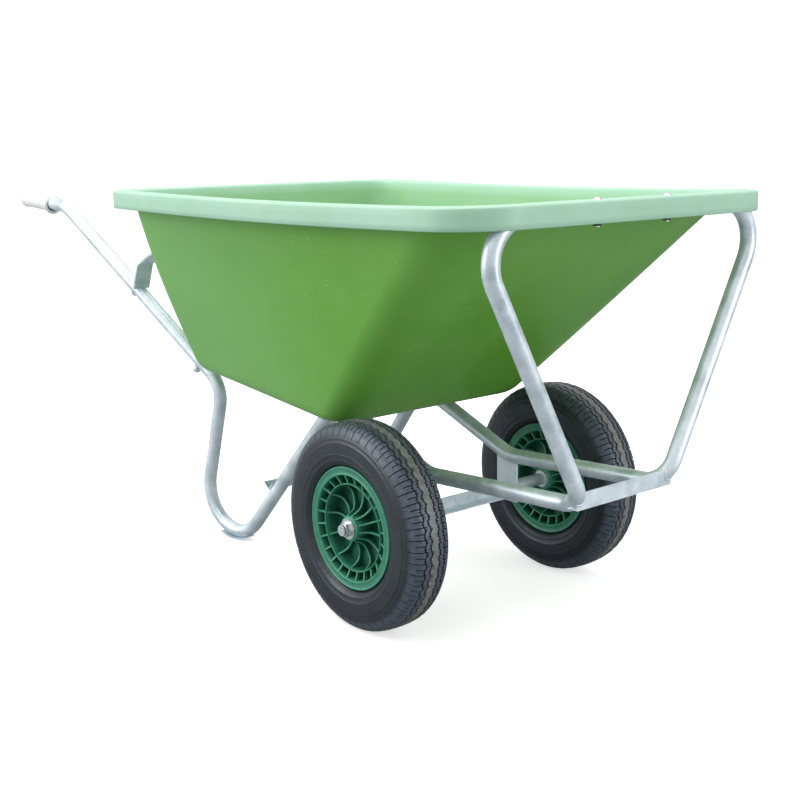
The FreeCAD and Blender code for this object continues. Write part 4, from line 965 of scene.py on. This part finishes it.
WEB = ((3.0, 23.0, 0), (3.0, 60.0, 0), (3.0, 99.6, 0), (-3.0, 99.6, 0), (-3.0, 60.0, 0),
       (-3.0, 23.0, 0))
# height of a rib's top edge along the radius, in millimetres: (radius, height)
LONG_RIB = ((22.0, 36.5), (24.5, 35.6), (27.0, 31.0), (30.0, 24.8), (34.0, 18.8),
            (40.0, 14.8), (48.0, 12.2), (57.0, 10.9), (65.0, 11.0), (71.0, 13.6),
            (76.0, 18.6), (80.0, 25.2), (83.4, 31.5))
SHORT_RIB = ((83.6, 31.4), (88.0, 32.6), (94.0, 35.0), (100.4, 38.0))
RIB_TURNS = ((7.5, (LONG_RIB, SHORT_RIB)), (22.5, (SHORT_RIB,)))


# %% Rim slices
def mirrored_section(half):
    """Close half a section over the middle plane; the first and last rows lie on it."""
    rows = [(y / 1000, r / 1000, edge) for y, r, edge in half]
    return rows + [(-y, r, edge) for y, r, edge in reversed(rows[1:-1])]


def add_turned(points, edges, faces, section):
    """Turn a closed section through one twelfth of the rim."""
    base, rows = len(points), len(section)
    for turn in np.linspace(0, 2 * math.pi / RIM_PARTS, ARC_STEPS + 1):
        for across, radius, edge in section:
            points.append((radius * math.sin(turn), across, radius * math.cos(turn)))
            edges.append(edge)
    for column in range(ARC_STEPS):
        for row in range(rows):
            near, far = base + column * rows, base + (column + 1) * rows
            following = (row + 1) % rows
            faces.append((near + row, far + row, far + following, near + following))


def add_rib(points, edges, faces, profile, turn, side):
    """One side's rib: a thin wall that rises from the web, with rounded top corners."""
    out = np.array((math.sin(turn), 0.0, math.cos(turn)))
    flank = np.array((math.cos(turn), 0.0, -math.sin(turn)))
    base = len(points)
    for radius, height in profile:
        radius, height = radius / 1000, height / 1000
        middle = (WEB_HALF + height) / 2
        column = ((RIB_HALF, WEB_HALF / 2, 0), (RIB_HALF, middle, 0),
                  (RIB_HALF, height - 2.5 * RIB_ROUND, 0.35), (RIB_HALF, height - RIB_ROUND, 1),
                  (RIB_HALF - RIB_ROUND, height, 1))
        across = list(column) + [(-x, y, edge) for x, y, edge in reversed(column)]
        for x, y, edge in across:
            spot = out * radius + flank * x
            points.append((spot[0], y * side, spot[2]))
            edges.append(edge)
    rows = len(across)
    for station in range(len(profile) - 1):
        for row in range(rows):
            near, far = base + station * rows, base + (station + 1) * rows
            following = (row + 1) % rows
            faces.append((near + row, far + row, far + following, near + following))
    for start in (base, base + (len(profile) - 1) * rows):
        faces.append(tuple(range(start, start + rows)))


def rim_slice():
    points, edges, faces = [], [], []
    for section in (mirrored_section(LIP_HALF), mirrored_section(RING_HALF),
                    mirrored_section(HUB_HALF), [(y / 1000, r / 1000, e) for y, r, e in WEB]):
        add_turned(points, edges, faces, section)
    for degrees, profiles in RIB_TURNS:
        for profile in profiles:
            for side in (1, -1):
                add_rib(points, edges, faces, profile, math.radians(degrees), side)
    mesh = bpy.data.meshes.new("rim_slice")
    mesh.from_pydata(points, [], faces)
    store = mesh.attributes.new("edge", "FLOAT", "POINT")
    store.data.foreach_set("value", np.array(edges, np.float32))
    return mesh


def make_rims():
    rims = []
    piece_slice = rim_slice()
    for side, _ in SIDES:
        name = "ribbed_rim_" + side
        mesh = grow(name, piece_slice, ROUND_AXLE, Count=RIM_PARTS,
                    Axle=tuple(wheel_middle(side)), Finish=RIM_GREEN)
        face_outwards(mesh)
        rims.append(add_piece(name, mesh, RIM_GREEN, "wheel_" + side,
                              ("rim_" + side,), sharp=40))
    return rims


for rim in make_rims():
    print(rim.name, len(rim.data.polygons), "faces")

# %% [markdown]
# ## The grips
# Each grip is a hard sleeve with a flared collar that keeps the hand off the tube and
# a fuller, rounded end. It is turned like a bottle round the handle's own line.

# %% Turned grips
# the handle runs back and slightly up; the sleeve's bore is a little over the tube
HANDLE_LINE = Vector((-0.9978, 0.0, 0.0668))
TUBE_HOLD = 0.0153
GRIP_HALF = 0.0785
# (distance along the grip, radius): up the bore, over the collar and outside, to the end
GRIP_PROFILE = (
    (0.1400, 0.0010), (0.1400, 0.0100), (0.1395, TUBE_HOLD), (0.0060, TUBE_HOLD),
    (0.0000, 0.0170), (0.0000, 0.0200), (0.0008, 0.0222), (0.0024, 0.0233), (0.0048, 0.0235),
    (0.0070, 0.0228), (0.0092, 0.0212), (0.0120, 0.0198), (0.0160, 0.0190), (0.0300, 0.0185),
    (0.0460, 0.0183), (0.0480, 0.0180), (0.0500, 0.0183), (0.0620, 0.0184), (0.0640, 0.0181),
    (0.0660, 0.0184), (0.0780, 0.0184), (0.0800, 0.0181), (0.0820, 0.0184), (0.0940, 0.0185),
    (0.0960, 0.0182), (0.0980, 0.0185), (0.1180, 0.0187), (0.1300, 0.0192), (0.1400, 0.0200),
    (0.1460, 0.0204), (0.1500, 0.0202), (0.1532, 0.0190), (0.1548, 0.0165), (0.1555, 0.0120),
    (0.1558, 0.0060), (0.1558, 0.0010),
)
GRIP_TURNS = 40


def make_grip(side):
    low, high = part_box("grip_" + side)
    middle = (low + high) / 2
    start = middle - HANDLE_LINE * GRIP_HALF
    across = Vector((0.0, 1.0, 0.0))
    up = HANDLE_LINE.cross(across)
    rings = []
    for along, radius in GRIP_PROFILE:
        hub = start + HANDLE_LINE * along
        rings.append([tuple(hub + (across * math.cos(t) + up * math.sin(t)) * radius)
                      for t in np.linspace(0, 2 * math.pi, GRIP_TURNS, endpoint=False)])
    mesh = mesh_from_rings("hand_grip_" + side, rings)
    return add_piece("hand_grip_" + side, mesh, GRIP_GREY, "frame",
                     ("grip_" + side,), sharp=50)


for side, _ in SIDES:
    print(make_grip(side).name)

# %% [markdown]
# ## Weld beads
# The frame is welded, so a small uneven bead runs where the pairs of pieces listed
# here meet. The lines are found from the measured pieces: an edge belongs to a weld when
# the face on one side of it lies on the other piece and the face on its other side
# doesn't. A Geometry Nodes tree turns those lines into beads.

# %% Where two pieces touch
TOUCHING = 0.0005
SAME_POINT = 0.00001
WELDS = [("tipping_bar", "front_hoop")]
for side, _ in SIDES:
    WELDS += [("axle_plate_" + side, "side_tube_" + side), ("axle_plate_" + side, "front_hoop"),
              ("stub_axle_" + side, "axle_plate_" + side),
              ("axle_angle", "axle_plate_" + side), ("leg_brace", "side_tube_" + side),
              ("skid_" + side, "side_tube_" + side)]


def surface_of(node):
    """A search tree over a measured piece, in the shared frame."""
    points = [node.matrix_world @ v.co for v in node.data.vertices]
    return BVHTree.FromPolygons(points, [tuple(f.vertices) for f in node.data.polygons])


def contact_edges(first, second):
    """Pairs of points: the edges of the first piece along which it meets the second."""
    other = surface_of(second)
    shell = bmesh.new()
    shell.from_mesh(first.data)
    shell.transform(first.matrix_world)
    bmesh.ops.remove_doubles(shell, verts=shell.verts, dist=SAME_POINT)
    near = {v: other.find_nearest(v.co, TOUCHING)[0] is not None for v in shell.verts}
    on_other = {}
    for face in shell.faces:
        middle = face.calc_center_median()
        on_other[face] = (all(near[v] for v in face.verts)
                          and other.find_nearest(middle, TOUCHING)[0] is not None)
    edges = []
    for edge in shell.edges:
        sides = [on_other[face] for face in edge.link_faces]
        if len(sides) == 2 and sides[0] != sides[1]:
            edges.append(tuple(tuple(v.co) for v in edge.verts))
    shell.free()
    return edges


def weld_lines():
    points, edges = [], []
    for first, second in WELDS:
        for start, end in contact_edges(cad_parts[first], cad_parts[second]):
            edges.append((len(points), len(points) + 1))
            points += [start, end]
    mesh = bpy.data.meshes.new("weld_lines")
    mesh.from_pydata(points, edges, [])
    return mesh


# %% The tree that lays a bead along lines
LINE_MERGE = 0.0002
RIPPLE_SCALE = 300.0


def bead_tree():
    tree, given, result = new_tree("bead", (
        ("Radius", "NodeSocketFloat", 0.0022), ("Spacing", "NodeSocketFloat", 0.0030),
        ("Unevenness", "NodeSocketFloat", 0.5), ("Finish", "NodeSocketMaterial", None)))
    link = tree.links.new
    merged = tree.nodes.new("GeometryNodeMergeByDistance")
    merged.inputs["Distance"].default_value = LINE_MERGE
    link(given.outputs["Geometry"], merged.inputs["Geometry"])
    lines = tree.nodes.new("GeometryNodeMeshToCurve")
    link(merged.outputs["Geometry"], lines.inputs["Mesh"])
    spaced = tree.nodes.new("GeometryNodeResampleCurve")
    spaced.mode = "LENGTH"
    link(lines.outputs["Curve"], spaced.inputs["Curve"])
    link(given.outputs["Spacing"], spaced.inputs["Length"])
    ripple = tree.nodes.new("ShaderNodeTexNoise")
    ripple.inputs["Scale"].default_value = RIPPLE_SCALE
    centred = tree.nodes.new("ShaderNodeMath")
    centred.operation = "SUBTRACT"
    link(ripple.outputs["Fac"], centred.inputs[0])
    centred.inputs[1].default_value = 0.5
    swell = tree.nodes.new("ShaderNodeMath")
    swell.operation = "MULTIPLY_ADD"
    link(centred.outputs["Value"], swell.inputs[0])
    link(given.outputs["Unevenness"], swell.inputs[1])
    swell.inputs[2].default_value = 1.0
    section = tree.nodes.new("GeometryNodeCurvePrimitiveCircle")
    section.inputs["Resolution"].default_value = 10
    link(given.outputs["Radius"], section.inputs["Radius"])
    bead = tree.nodes.new("GeometryNodeCurveToMesh")
    bead.inputs["Fill Caps"].default_value = True
    link(spaced.outputs["Curve"], bead.inputs["Curve"])
    link(section.outputs["Curve"], bead.inputs["Profile Curve"])
    link(swell.outputs["Value"], bead.inputs["Scale"])
    paint = tree.nodes.new("GeometryNodeSetMaterial")
    link(bead.outputs["Mesh"], paint.inputs["Geometry"])
    link(given.outputs["Finish"], paint.inputs["Material"])
    link(paint.outputs["Geometry"], result.inputs["Geometry"])
    return tree


def make_welds():
    mesh = grow("weld_beads", weld_lines(), bead_tree(), Finish=STEEL)
    face_outwards(mesh)
    return add_piece("weld_beads", mesh, STEEL, "frame")


WELD_BEADS = make_welds()
